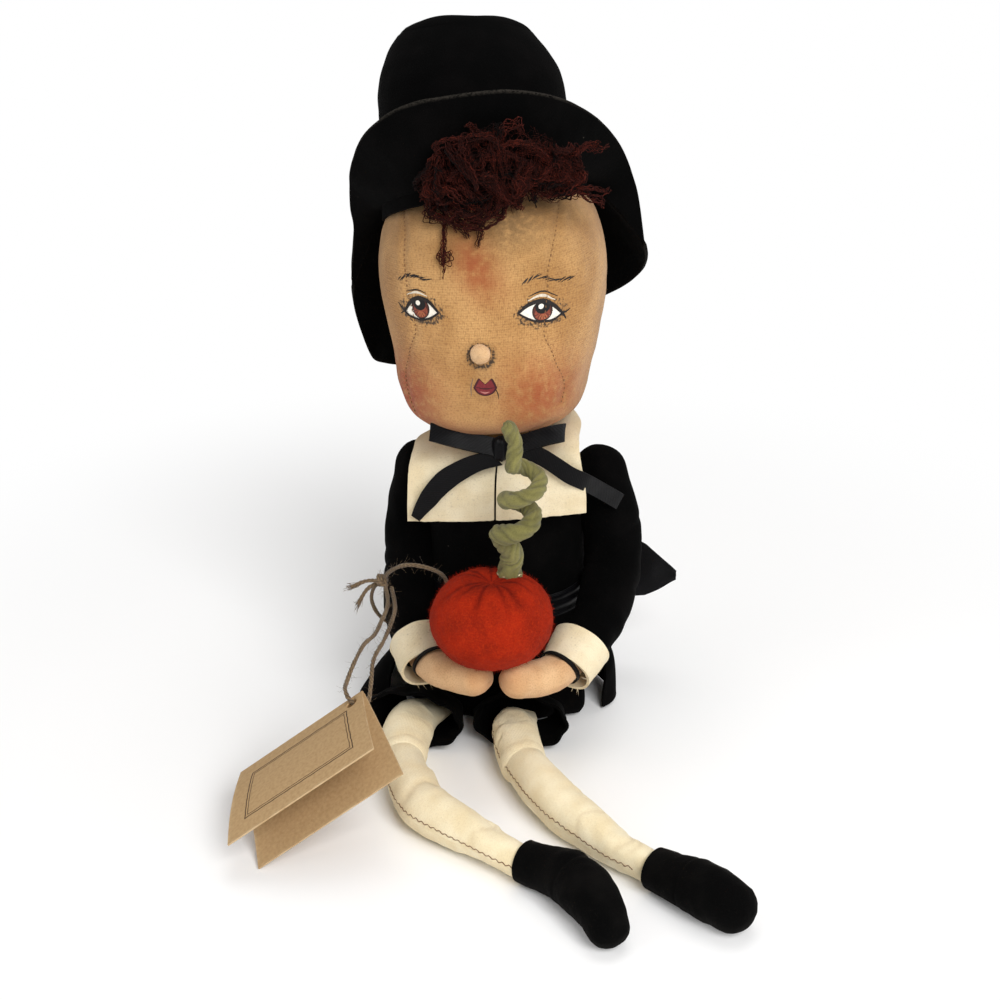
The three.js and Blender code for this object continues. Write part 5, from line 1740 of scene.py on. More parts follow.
    def collar_at(self, x: Array, run: Array) -> Array:
        """Place points of the flat collar on the shoulders, by how far aside and how far back they are."""
        section = spline(
            (
                (-45.6, 134), (-45, 148), (-41.5, 160), (-33, 169), (-18, 173), (0, 173), (18, 173),
                (32, 167), (38.5, 156), (42.5, 140),
            ),
            200,
        )
        side = x / self.collar_half
        v = np.clip(run, 0, 1)
        share = np.linspace(0, 1, 200)
        y = np.interp(v, share, section[:, 0]) + 5 * side**2 * np.cos(np.pi * v)
        z = np.interp(v, share, section[:, 1]) - 7 * side**2 * np.sin(np.pi * v) + 6 * side * (1 - v)
        # the stiff corner over the doll's left shoulder stands up beside the jaw
        corner = ease(side, 0.35, 1.0)
        stands = corner * np.sin(np.pi * v) ** 1.5
        y = y - 8 * corner * bell(v, 0.3, 0.14)
        drawn_in = 6 * corner * ease(v, 0.05, 0.4) * (1 - ease(v, 0.6, 0.9))
        aside = x * (1 - 0.3 * ease(v, 0.42, 0.8)) - drawn_in
        return np.stack([aside, y, z + 10 * stands], -1)

    def collar(self) -> None:
        """Make the white collar, cut round the neck and slit at the front."""
        section = 138.0
        middle = 0.515
        half = self.collar_half
        front = np.linspace(self.slit, half, 26)
        sides = np.linspace(0, 1, 70)
        back = np.linspace(half, -half, 52)
        rim = [(x, 0.0) for x in front[:-1]] + [(half, v) for v in sides[:-1]]
        rim += [(x, 1.0) for x in back[:-1]] + [(-half, v) for v in sides[::-1][:-1]]
        rim += [(-x, 0.0) for x in front[::-1]]
        edge = np.array(rim)
        flat = np.stack([edge[:, 0], (edge[:, 1] - middle) * section], -1)
        hole = self.neck_hole + self.slit
        inner = unit(flat) * hole
        inner[0] = (self.slit, -hole)
        inner[-1] = (-self.slit, -hole)
        share = np.linspace(0, 1, 30)[:, None, None]
        grid = lerp(inner[None], flat[None], share)
        rings = self.collar_at(grid[..., 0], grid[..., 1] / section + middle)
        ragged = 0.25 * ripple(rings, 3.0, 77) * ease(share[..., 0], 0.96, 1.0)
        rings = rings + np.stack([0 * ragged, 0 * ragged, ragged], -1)
        waves = 0.45 * ripple(rings, 22.0, 76) + 0.15 * ripple(rings, 7.0, 78)
        rings = raised(rings, waves, around=False)
        piece = loft("collar_cotton", rings, around=False, wall=1.4, sharp=40, flat=grid)
        paint_share(piece, "blush_and_shade", 0.5 * ease(share[..., 0] + 0 * rings[..., 0], 0.93, 1.0))
        fit(piece, "torso", "linen", "collar")


@dataclass
class NeckBow:
    """The black satin ribbon tied in a bow at the throat."""

    knot: Place = (3.0, -46.5, 177.0)
    ribbon: float = 10.0
    neck_height: float = 176.3

    def at(self, points: Points) -> list[Array]:
        """Return points given from the knot."""
        return [np.array(self.knot) + np.array(point) for point in points]

    def build(self) -> None:
        """Make the neck ribbon, knot, loops and tails."""
        round_neck = (
            (20, 0), (14, 15), (0, 20), (-14, 15), (-20, 0), (-15, -24), (-2, -41), (7, -41),
            (16, -24),
        )
        line = spline([(x, y, self.neck_height) for x, y in round_neck], 161, closed=True)[:-1]
        rise = np.linspace(-1.7, 1.7, 6)[:, None, None] * np.array((0, 0, 1.0))
        band = loft("neck_ribbon_satin", line[None] + rise, wall=0.8)
        fit(band, "torso", "satin", "neck_ribbon")
        knot = Limb(self.at(((0, 0, -3.2), (0, 0, 3.2))), (4.2, 4.5, 4.2))
        rings = knot.rings(20, 40, grow=-0.2)
        rings = raised(rings, 0.25 * np.cos(6 * places(rings)[1]))
        piece = loft("bow_knot_satin", rings, poles=SHUT)
        fit(piece, "torso", "satin", "bow_knot", fill=0.5)
        lie = ((0, 0.6, 0.8), (0, 0.6, 0.8))
        right = (
            (-3, 0, 0.8), (-16, -1, 3.7), (-30, -0.5, 6.2), (-38, 1, 7), (-30, 1.5, 4.8), (-16, 1, 2.3)
        )
        left = ((3, 0, 0.8), (15, -1, 5.7), (27, -0.5, 10.1), (34.5, 1, 11.2), (27, 1.5, 8.7), (15, 1, 4.3))
        for name, spots in (("bow_loop_right", right), ("bow_loop_left", left)):
            loop = Ribbon(self.at(spots), (self.ribbon, self.ribbon), lie, closed=True)
            fit(
                loop.piece(name + "_satin", 90, 0.25, 81), "torso", "satin", name,
                held=Hold.FOLDED, cut=loop.cut(90), rests_on=["bow_knot"],
            )
        tail = Ribbon(
            self.at(((-2, -1.6, -5), (-14, -1.6, -9), (-30, -2, -20), (-42, -1, -36), (-47, 1, -45))),
            (self.ribbon, 11, 12, 10.5, 5.5), ((0.7, 0, -0.71), (0.78, 0, -0.6)),
        )
        fit(
            tail.piece("bow_tail_right_satin", 70, 0.3, 82), "torso", "satin", "bow_tail_right",
            held=Hold.HUNG, cut=tail.cut(70), rests_on=["bow_knot"],
        )
        tail = Ribbon(
            self.at(
                (
                    (2, -1.4, -1), (14, -1.8, 0.5), (22, -1.5, -2.5), (30, -1.2, -7.5), (38, -0.5, -13),
                    (45.3, 3.5, -18.1), (52.5, 14.5, -27.5), (62.5, 27.5, -40),
                )
            ),
            (self.ribbon, self.ribbon), ((0.4, 0, 0.9), (0.4, 0, 0.9)),
        )
        piece = tail.piece("bow_tail_left_satin", 90, 0.3, 83)
        piece.data.materials.append(FINISHES["satin"])
        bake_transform(piece)
        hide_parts("bow_tail_left")
        tail.cut(90)
        LOG.info("%s between torso and left_arm", piece.name)


# Arms, sleeves and cuffs


@dataclass
class Arm:
    """A wired muslin arm in a velvet sleeve, with a turned-back white cuff."""

    side: Side
    path: Points
    seed: int
    girths: Sequence[float] = (10.5, 10.5, 10.5, 10.5, 9, 10.5, 10.5)
    folds: Points = (
        (0.34, 0.8, 0.4), (0.45, 1.0, 2.1), (0.55, 1.1, 3.0), (0.64, 0.9, 1.2), (0.8, 0.6, 4.0)
    )

    def build(self, fuzz: Tree) -> None:
        """Make the arm's pieces."""
        side = self.side.value
        body = side + "_arm"
        limb = Limb(self.path, self.girths, domes=(0.7, 1.0))
        rings = limb.rings(110, 48, grow=-0.3, caps=9)
        hand = loft(side + "_hand_muslin", rings, poles=SHUT)
        stuff(hand, pressure=1.6, cap=0.9, slack=0.03)
        core = corners_of(hand)[: rings[..., 0].size].reshape(rings.shape)
        push = 0.3 * ripple(core, 14.0, self.seed) + 0.12 * ripple(core, 5.0, self.seed + 1)
        move_to(hand, raised(core, push - 0.2))
        share, turn = places(rings)
        paint_share(hand, "blush_and_shade", 0.7 * ease(share + 0 * turn, 0.9, 1.0))
        fit(hand, body, "skin", side + "_arm", fill=0.85)
        self.sleeve(body)
        self.cuff(body, fuzz)

    def sleeve(self, body: str) -> None:
        """Make the velvet sleeve, creased at the elbow, closed over the shoulder and open at the wrist."""
        limb = Limb(self.path[:5], (16, 17, 17, 15.5, 13), domes=(0.97, 0.0))
        rings = limb.rings(90, 72, grow=-1.3, caps=9)
        share, turn = places(rings)
        folds = np.zeros(rings.shape[:2])
        for at, depth, phase in self.folds:
            face = 0.5 + 0.5 * np.cos(turn - phase)
            folds -= depth * bell(share + 0.03 * np.sin(turn + phase), at, 0.018) * face
        folds += 0.45 * ripple(rings, 15.0, self.seed + 2)
        rings = raised(rings, folds)
        piece = loft(self.side.value + "_sleeve_velvet", rings, poles=(True, False), wall=1.4)
        fit(
            piece, body, "velvet", self.side.value + "_sleeve",
            held=Hold.STRETCHED, cut=cut_of(rings, True), rests_on=[body],
        )

    def wrist(self) -> tuple[Array, Array]:
        """Return the wrist's place and the forearm's direction there."""
        elbow, wrist = np.array(self.path[3:5], float)
        return wrist, unit(wrist - elbow)

    def wrist_rings(self, low: float, high: float, radius: Any, rows: int, cols: int) -> Array:
        """Return sections about the wrist, by their distance along the forearm."""
        wrist, along = self.wrist()
        across = unit(np.cross(along, (0.0, 0.0, 1.0)))
        lift = np.cross(across, along)
        place = np.linspace(low, high, rows)[:, None]
        turn = circle(cols)[None]
        size = np.broadcast_to(radius(place, turn), (rows, cols))
        ring = across * np.cos(turn)[..., None] + lift * np.sin(turn)[..., None]
        return wrist + along * (place + 0 * turn)[..., None] + ring * size[..., None]

    def hand_band(self, low: float, high: float, grow: float, rows: int) -> Array:
        """Return rings that lie on the hand in the cuff's own plane, by their distance from the wrist."""
        hand = Limb(self.path, self.girths).rings(240, 120, grow=grow)
        wrist, along = self.wrist()
        reach = (hand - wrist) @ along
        first = int(np.argmin(np.linalg.norm(hand.mean(1) - wrist, axis=1)))
        cols = np.arange(hand.shape[1])
        made = []
        for level in np.linspace(low, high, rows):
            row = first + np.argmax(reach[first:] > level, 0)
            near, far = reach[row - 1, cols], reach[row, cols]
            share = ((level - near) / (far - near))[:, None]
            made.append(lerp(hand[row - 1, cols], hand[row, cols], share))
        return np.array(made)

    def cuff(self, body: str, fuzz: Tree) -> None:
        """Make the turned-back cuff with its raw edge, and the black ribbon in its opening."""
        side = self.side.value
        rings = self.wrist_rings(
            -9.0, 11.0, lambda p, t: 15.4 - 0.11 * p + 0.45 * np.cos(2 * t + 0.5) * ease(p, -9, 11), 30, 96
        )
        rings = raised(rings, 0.3 * ripple(rings, 12.0, self.seed + 3))
        piece = loft(side + "_cuff_cotton", rings, wall=1.5, sharp=40)
        share, turn = places(rings)
        paint_share(piece, "blush_and_shade", 0.6 * ease(share + 0 * turn, 0.9, 1.0))
        fit(
            piece, body, "linen", side + "_cuff",
            held=Hold.FOLDED, cut=cut_of(rings, True), rests_on=[side + "_sleeve"],
        )
        hem = self.wrist_rings(10.2, 11.1, lambda p, t: 14.2 + 0 * p, 2, 120)[:, 55:]
        carrier = loft("raw_edge", hem, around=False, wall=1.2)
        frayed = grown(
            side + "_cuff_fray", carrier, fuzz,
            Density=110000.0, Length=0.0042, Half_Width=0.00016, Lean=1.0, Seed=self.seed,
            Finish=FINISHES["linen"],
        )
        fit(frayed, body, "linen")
        trim = self.hand_band(11.6, 14.0, 0.5, 8)
        piece = loft(side + "_cuff_trim_satin", trim, wall=1.0)
        fit(piece, body, "satin", side + "_cuff_trim")


# Pumpkin


@dataclass
class Pumpkin:
    """A felted wool pumpkin, gathered at the top about a curled cotton stem."""

    centre: Place = (4.0, -86.0, 95.5)
    radius: float = 33.0
    half_height: float = 25.0
    creases: int = 11
    root: Place = (12.0, -84.0, 117.1)

    def build(self, fuzz: Tree, stitches: Tree) -> None:
        """Make the wool body, its fuzz and the curled stem."""
        rows, cols = 110, 180
        level = np.radians(np.linspace(-88, 88, rows))[:, None]
        turn = circle(cols)[None]
        flat = np.cos(level) ** 0.88
        rise = np.sin(level)
        chance = np.random.default_rng(91)
        crease = np.zeros((rows, cols))
        for at in circle(self.creases):
            where = at + chance.uniform(-0.2, 0.2)
            reach = chance.uniform(0.25, 0.7)
            gap = (turn - where + np.pi) % (2 * np.pi) - np.pi
            crease += bell(gap, 0.0, 0.085) * ease(rise, reach, 0.95) * chance.uniform(0.7, 1.2)
        size = self.radius * flat * (1 - 0.08 * crease)
        height = self.half_height * rise - 3.5 * bell(flat, 0.0, 0.3) * (rise > 0)
        shape = ovals(size, size, height, turn) + self.centre
        shape = raised(shape, 0.5 * ripple(shape, 20.0, 92) + 0.2 * ripple(shape, 6.0, 93))
        body = loft("pumpkin_wool", shape, poles=SHUT)
        # the creases and the gathered top are painted darker, a painted shade where the wool folds in
        paint_share(body, "gather", np.clip(0.55 * crease + 0.25 * ease(rise, 0.85, 1.0), 0, 0.7))
        fit(body, "left_arm", "wool", "pumpkin", fill=0.9)
        hair = grown(
            "pumpkin_fuzz", body, fuzz, False,
            Density=260000.0, Length=0.0022, Half_Width=0.00007, Lean=1.1, Seed=94, Finish=FINISHES["wool"],
        )
        fit(hair, "left_arm", "wool")
        self.stem(stitches)

    def stem(self, stitches: Tree) -> None:
        """Make the stem, a cotton tube curled like a tendril and wrinkled round its bends."""
        path = [(0, 8, -3), (1, 6.5, 7), (2, 4, 16)]
        for n in range(17):
            turn = math.radians(200 + 45 * n)
            path.append((4 + 3.4 * n / 8 + 8 * math.cos(turn), 8 * math.sin(turn), 29 + 20 * n / 8))
        path += [(4, 0, 80), (1, -1, 89)]
        placed = np.array(path, float) + self.root
        rings = Limb(placed, (6.4, 4.9, 4.2, 3.9)).rings(300, 36, caps=8)
        share, turn = places(rings)
        wander = 0.5 * ripple(rings, 12.0, 95)
        fold = np.abs(np.sin(turn + 46 * share + wander)) ** 0.6
        cross = np.abs(np.sin(2.5 * turn + 104 * share + 2 * wander)) ** 0.7
        valley = 0.55 * (1 - fold) + 0.6 * (1 - cross)
        foot = 0.8 * np.cos(8 * turn) * bell(share, 0.03, 0.04)
        rings = raised(rings, 0.35 - 1.15 * valley + 0.2 * wander + foot)
        piece = loft("pumpkin_stem_cotton", rings, poles=SHUT)
        # the wrinkles' valleys are painted darker olive, a painted shade
        paint_share(piece, "blush_and_shade", valley)
        fit(piece, "left_arm", "sage", "pumpkin_stem", fill=0.7)
        angle = np.linspace(0, 2 * np.pi, 60)
        ring = np.stack([6.2 * np.cos(angle), 6.2 * np.sin(angle), 0.4 * np.sin(9 * angle)], 1)
        carrier = thread_line("stem_foot", [ring + self.root + np.array((0.2, 7.6, 1.6))])
        tuft = grown(
            "stem_foot_threads", carrier, stitches, Pitch=0.0031, Half_Length=0.0016, Half_Width=0.0003,
            Seed=96, Finish=FINISHES["linen"],
        )
        fit(tuft, "left_arm", "linen")


# Head, face, hat and hair


@dataclass
class Head:
    """The stuffed muslin head with its side seams, its cheek colour and painted shade, and its painted
    face.
    """

    base: float = 178.0
    height: float = 143.0
    half_width: float = 61.0
    front: float = 58.0
    back: float = 57.0
    left_jaw: float = 0.14
    nose_size: tuple[float, float] = (5.3, 5.0)
    nose_place: Place = (-0.5, -58.8, 235.5)
    eyes: Points = ((-37.2, 255.6), (24.6, 257.4))
    sections: Points = (
        (0, 0.36, 0.4, 0.3), (0.02, 0.6, 0.64, 0.5), (0.06, 0.78, 0.83, 0.68), (0.12, 0.88, 0.94, 0.8),
        (0.22, 0.925, 0.99, 0.88), (0.34, 0.94, 1, 0.94), (0.48, 0.98, 1, 0.99), (0.62, 1, 0.98, 1),
        (0.75, 0.955, 0.92, 0.97), (0.84, 0.85, 0.8, 0.88), (0.92, 0.64, 0.6, 0.68),
        (0.97, 0.4, 0.38, 0.42), (1, 0.14, 0.14, 0.14),
    )
    left_seam: Points = (
        (-51.1, 300.9), (-48.2, 292.7), (-47.1, 279.1), (-45.1, 264.1), (-42.4, 252.8), (-40.9, 242.6),
        (-44.3, 233.4), (-45.9, 226.3), (-48.8, 214.9), (-47.8, 202.7), (-44.9, 192.0),
    )
    right_seam: Points = (
        (29.6, 308.5), (30.3, 302.2), (29.9, 294.2), (28.6, 285.4), (27.5, 277.7), (27.8, 270.8),
        (26.7, 256.9), (26.6, 244.1), (30.1, 235.1), (32.3, 226.9), (35.4, 217.8), (35.9, 210.8),
        (34.4, 203.1),
    )

    def rings(self, rows: int, cols: int) -> Array:
        """Return the head's sections, leaned as it sits."""
        table = spline(self.sections, rows)
        turn = np.linspace(0.5 * np.pi, 2.5 * np.pi, cols, endpoint=False)[None]
        swell = 1 + 0.05 * np.sin(2 * turn) ** 2
        jaw = 1 - self.left_jaw * bell(table[:, 0:1], 0.14, 0.17) * (np.cos(turn) > 0)
        x = self.half_width * table[:, 1:2] * np.cos(turn) * swell * jaw
        deep = np.where(np.sin(turn) < 0, self.front * table[:, 2:3], self.back * table[:, 3:4])
        y = deep * np.sin(turn) * swell
        z = np.broadcast_to(self.base + self.height * table[:, 0:1], x.shape)
        return leaned(np.stack([x, y, z], -1))

    def build(self, stitches: Tree) -> Piece:
        """Make the head, its seams and its nose, and return the head."""
        rings = self.rings(170, 240)
        x, y, z = np.moveaxis(rings, -1, 0)
        push = 0.3 * ripple(rings, 26.0, 101) + 0.12 * ripple(rings, 9.0, 102) - 0.2
        seamed = np.zeros_like(push)
        for seam in (self.left_seam, self.right_seam):
            line = spline(seam, 80)
            gap = np.min(np.hypot(x[..., None] - line[:, 0], z[..., None] - line[:, 1]), -1)
            push -= 0.5 * bell(gap, 0.0, 1.4) * (y < 0)
            push += 0.3 * bell(gap, 3.6, 2.2) * (y < 0)
            seamed = np.maximum(seamed, bell(gap, 0.0, 0.9))
        rings = raised(rings, push)
        head = loft("head_muslin", rings, poles=SHUT)
        front = ease(-y, 4.0, 16.0)
        slant = x + 0.35 * (z - 279)
        # cheek and forehead colour, brushed on; the left cheek's patch at the jaw's edge, on the side away
        # from the key lamp, is partly painted shade, and a band along the bottom of the head is darker
        blush_and_shade = 0.85 * bell(slant, -8, 11) * bell(z, 280, 15) + bell(x, -49, 20) * bell(z, 203, 22)
        blush_and_shade = blush_and_shade + 0.8 * bell(x, 25, 20) * bell(z, 211, 21) + 0.4 * bell(z, 184, 9)
        # painted shade: the forehead darkens upward under the hair and the hat's brim, and a painted shadow
        # rings the nose button; the seams and a ring round the mouth are darker too
        smudge = 0.6 * bell(x, 4, 36) * bell(z, 311, 12) + 0.4 * bell(x, 8, 13) * bell(z, 297, 9)
        smudge = smudge + 0.3 * ease(z, 250, 300) + 0.12 * seamed
        nose = np.hypot(x + 5.6, z - 233.6)
        smudge = smudge + 0.75 * bell(nose, 6.0, 2.2) + 0.3 * bell(np.hypot(x + 3.4, z - 216), 7.0, 2.5)
        # grey stipple brushed round the eyes, and a ring round the nose that is a painted shadow of the
        # nose button
        stipple_and_nose_shade = 1.0 * bell(nose, 6.3, 1.7)
        for cx, cz in self.eyes:
            away = np.hypot((x - cx) / 12.0, (z - cz) / 7.6)
            stipple_and_nose_shade = stipple_and_nose_shade + 0.9 * bell(away, 0.9, 0.32) * (0.75 + 0.25 * ease(cz - z, -2.0, 4.0))
        for name, share in (("blush_and_shade", blush_and_shade), ("smudge", smudge), ("stipple_and_nose_shade", stipple_and_nose_shade)):
            paint_share(head, name, share * front)
        fit(head, "head", "muslin", "head", fill=0.95)
        self.seams(head, stitches)
        self.nose()
        return head

    def seams(self, head: Piece, stitches: Tree) -> None:
        """Sew the two seams that shape the face."""
        ground = surface_of(head)
        lines = []
        for seam in (self.left_seam, self.right_seam):
            found = []
            for sx, sz in spline(seam, 60):
                hit, normal = met(ground, sx, sz)
                if hit is not None:
                    found.append(np.array(hit) / MM + 0.22 * np.array(normal))
            lines.append(np.array(found))
        carrier = thread_line("face_seams", lines)
        piece = grown(
            "face_seam_stitches", carrier, stitches,
            Pitch=0.0026, Half_Length=0.00075, Half_Width=0.0003, Seed=7, Finish=FINISHES["thread"],
        )
        fit(piece, "head", "muslin")

    def nose(self) -> None:
        """Make the small stuffed button nose."""
        level = np.radians(np.linspace(-86, 86, 28))[:, None]
        turn = circle(40)[None]
        radius, deep = self.nose_size
        size = radius * np.cos(level)
        ball = np.stack([size * np.cos(turn), -deep * np.sin(level) + 0 * turn, size * np.sin(turn)], -1)
        ball = leaned(ball + np.array(self.nose_place))
        ball = raised(ball, 0.18 * ripple(ball, 4.0, 104))
        button = loft("nose_muslin", ball, poles=SHUT)
        fit(button, "head", "skin", "nose", finish="nose", fill=0.95)


class Shade(Enum):
    """The painter's colours, each with the tone that thins out over the cloth."""

    LINE = ("#171110", "#2b211c")
    WHITE = ("#efe8dc", "#ddd3c3")
    LID = ("#cfc3b0", "#e3d9c9")
    IRIS = ("#4a2018", "#5f2d22")
    GLOW = ("#7f3a27", "#98503a")
    EMBER = ("#a9613f", "#8c4630")
    PUPIL = ("#0b0808", "#140f0e")
    LIP = ("#701f24", "#822e31")
    LIP_DARK = ("#3c1016", "#4c1820")
    LIP_LIGHT = ("#ae6a64", "#c08a80")
    GREY = ("#6b5f55", "#8d7a68")


@dataclass
class FacePaint:
    """The painted eyes, brows and mouth, laid on the head as thin films of paint."""

    head: Piece

    def __post_init__(self) -> None:
        """Find the head's surface and start with no paint."""
        self.ground = surface_of(self.head)
        self.points: list[Place] = []
        self.faces: list[list[int]] = []
        self.shades: list[int] = []
        self.order = list(Shade)

    def drop(self, x: float, z: float, lift: float) -> int:
        """Lay one point on the cloth, a little way off it, and return its number."""
        hit, normal = met(self.ground, x, z)
        self.points.append(tuple(hit + normal * lift * MM))
        return len(self.points) - 1

    def fill(self, outline: Array, shade: Shade, lift: float, rings: int = 5) -> None:
        """Fill an outline with paint, from its middle outward."""
        middle = outline.mean(0)
        tip = self.drop(middle[0], middle[1], lift)
        last: list[int] = []
        count = len(outline)
        for n in range(1, rings + 1):
            row = [self.drop(*(middle + (at - middle) * n / rings), lift) for at in outline]
            for a in range(count):
                b = (a + 1) % count
                face = [tip, row[a], row[b]] if n == 1 else [last[a], row[a], row[b], last[b]]
                self.faces.append(face)
                self.shades.append(self.order.index(shade))
            last = row

    def stroke(
        self, line: Points, widths: Sequence[float], shade: Shade, lift: float, steps: int = 18
    ) -> None:
        """Draw one brush stroke along a line, its width set along it."""
        path = spline(line, steps)
        way = unit(np.gradient(path, axis=0))
        side = np.stack([-way[:, 1], way[:, 0]], 1)
        half = spread(widths, steps)[:, None] / 2
        left = [self.drop(*at, lift) for at in path + side * half]
        right = [self.drop(*at, lift) for at in path - side * half]
        for n in range(steps - 1):
            self.faces.append([left[n], left[n + 1], right[n + 1], right[n]])
            self.shades.append(self.order.index(shade))

    def oval(self, x: float, z: float, wide: float, tall: float, count: int = 26) -> Array:
        """Return an oval outline."""
        turn = circle(count)
        return np.stack([x + wide * np.cos(turn), z + tall * np.sin(turn)], 1)

    def eye(self, upper: Points, lower: Points, iris: Sequence[float], pupil: Sequence[float]) -> None:
        """Paint one eye from its lids' lines, its iris and its pupil."""
        top = spline(upper, 22)
        under = spline(lower, 22)
        self.fill(np.vstack([top[:-1], under[:-1]]), Shade.WHITE, 0.1)
        x, z, wide, tall = iris
        self.fill(self.oval(x, z, wide, tall), Shade.LINE, 0.16)
        self.fill(self.oval(x, z, wide - 0.55, tall - 0.6), Shade.IRIS, 0.2)
        self.fill(self.oval(x + 0.1, z - 1.3, wide - 1.2, tall - 2.0), Shade.GLOW, 0.23)
        self.fill(self.oval(x + 0.3, z - 3.0, 0.42 * wide, 0.26 * tall, 18), Shade.EMBER, 0.26, 3)
        for turn in np.radians((-150, -125, -104, -84, -62, -36)):
            way = np.array((math.cos(turn), math.sin(turn)))
            rim = np.array((x, z)) + way * np.array((wide - 1.0, tall - 1.1))
            self.stroke((rim, rim - way * 1.1, rim - way * 2.2), (0.5, 0.35, 0.15), Shade.IRIS, 0.28, 5)
        px, pz, size = pupil
        self.fill(self.oval(px, pz, size, size), Shade.PUPIL, 0.3)
        self.fill(self.oval(px - 0.8, pz + 0.5, 0.36 * size, 0.4 * size, 14), Shade.WHITE, 0.34, 2)
        self.stroke(upper, (1.0, 2.1, 2.2, 1.9, 1.1), Shade.LINE, 0.34, 26)
        self.stroke(lower, (1.0, 1.2, 1.3, 1.2, 0.9), Shade.LINE, 0.34, 26)

    def brow(self, line: Points, seed: int) -> None:
        """Hatch one eyebrow with short brush strokes."""
        path = spline(line, 17)
        chance = np.random.default_rng(seed)
        way = unit(np.gradient(path, axis=0))
        for n, (at, heading) in enumerate(zip(path, way)):
            up = np.array((-heading[1], heading[0]))
            start = at - heading * 1.8 - up * chance.uniform(0.4, 1.5)
            end = at + heading * chance.uniform(1.2, 2.8) + up * chance.uniform(0.2, 1.3)
            bent = (start, (start + end) / 2 + up * 0.2, end)
            self.stroke(bent, (0.2, 0.65, 0.15), Shade.LINE, 0.12 + 0.006 * n, 6)

    def build(self) -> None:
        """Paint the face and set it on the head."""
        self.eye(
            ((-46.6, 252.7), (-43.8, 258.0), (-39.2, 261.7), (-33.7, 261.0), (-27.7, 255.5)),
            ((-27.7, 255.5), (-32.1, 252.0), (-37.1, 250.2), (-43.1, 250.4), (-46.6, 252.7)),
            (-37.8, 256.2, 5.1, 5.6), (-38.3, 258.6, 3.4),
        )
        self.eye(
            ((13.5, 257.4), (18.7, 261.8), (25.3, 263.3), (30.6, 260.4), (35.0, 255.1)),
            ((35.0, 255.1), (30.6, 252.7), (25.3, 252.3), (18.8, 254.1), (13.5, 257.4)),
            (25.4, 257.8, 5.0, 5.4), (25.5, 260.0, 3.5),
        )
        strokes = (
            (((-45.6, 261.9), (-40.2, 264.6), (-34.1, 263.4)), (0.3, 1.3, 0.4), Shade.LID),
            (((18.2, 263.8), (24.4, 266.2), (31.5, 263.0)), (0.4, 1.5, 0.4), Shade.LID),
            (((-46.1, 263.6), (-39.8, 265.9), (-34.5, 264.8)), (0.3, 0.8, 0.3), Shade.LINE),
            (((18.4, 266.0), (25.0, 268.2), (32.6, 264.8)), (0.3, 0.8, 0.3), Shade.LINE),
            (((-50.7, 256.2), (-48.6, 254.0), (-46.4, 252.4)), (0.35, 1.0, 0.8), Shade.LINE),
            (((-49.4, 250.4), (-47.4, 252.4), (-45.4, 255.0)), (0.35, 0.9, 0.6), Shade.LINE),
            (((34.1, 255.0), (36.4, 255.4), (38.6, 256.6)), (0.9, 0.9, 0.35), Shade.LINE),
            (((34.3, 256.2), (35.6, 254.2), (36.8, 251.6)), (0.8, 0.9, 0.35), Shade.LINE),
            (((-9.8, 220.9), (-10.8, 216.0), (-10.6, 210.9)), (0.3, 0.5, 0.2), Shade.GREY),
            (((2.3, 215.4), (3.4, 212.6), (3.5, 210.0)), (0.4, 0.5, 0.2), Shade.LINE),
        )
        for line, widths, shade in strokes:
            self.stroke(line, widths, shade, 0.2)
        self.brow(((-49.6, 269.6), (-43.7, 272.6), (-33.8, 271.8)), 111)
        self.brow(((16.2, 273.2), (21.8, 276.0), (30.9, 273.2), (38.8, 272.4)), 112)
        self.mouth()
        mesh = bpy.data.meshes.new("face_paint")
        mesh.from_pydata(self.points, [], self.faces)
        for shade in self.order:
            paint = FabricPaint("fabric_paint_" + shade.name.lower(), *shade.value)
            mesh.materials.append(paint.material())
        mesh.polygons.foreach_set("material_index", self.shades)
        outward = np.array([p.normal for p in mesh.polygons])[:, 1]
        mesh.update()
        if outward.mean() > 0:
            mesh.flip_normals()
        mesh.shade_smooth()
        fit(linked("face_paint", mesh), "head", "muslin")

    def mouth(self) -> None:
        """Paint the small mouth, two lips with a dark edge."""
        bow = spline(((-9.1, 215.8), (-7.6, 219.0), (-6.5, 220.9), (-4.9, 219.4), (-3.4, 218.0)), 16)
        wing = spline(((-3.4, 218.0), (-1.8, 219.6), (-0.2, 221.2), (1.2, 219.2), (2.4, 216.4)), 16)
        chin = spline(((2.4, 216.4), (0.4, 213.4), (-3.4, 211.9), (-7.0, 213.0), (-9.1, 215.8)), 26)
        whole = np.vstack([bow[:-1], wing[:-1], chin[:-1]])
        middle = np.array((-3.4, 216.0))
        self.fill(middle + (whole - middle) * 1.1, Shade.LIP_DARK, 0.12)
        self.fill(middle + (whole - middle) * 0.9, Shade.LIP, 0.18)
        self.stroke(((-8.2, 216.2), (-3.4, 215.6), (1.6, 216.5)), (0.3, 0.9, 0.3), Shade.LIP_DARK, 0.24)
        self.stroke(((-6.0, 213.9), (-3.4, 213.3), (-1.0, 214.0)), (0.2, 1.0, 0.2), Shade.LIP_LIGHT, 0.26)


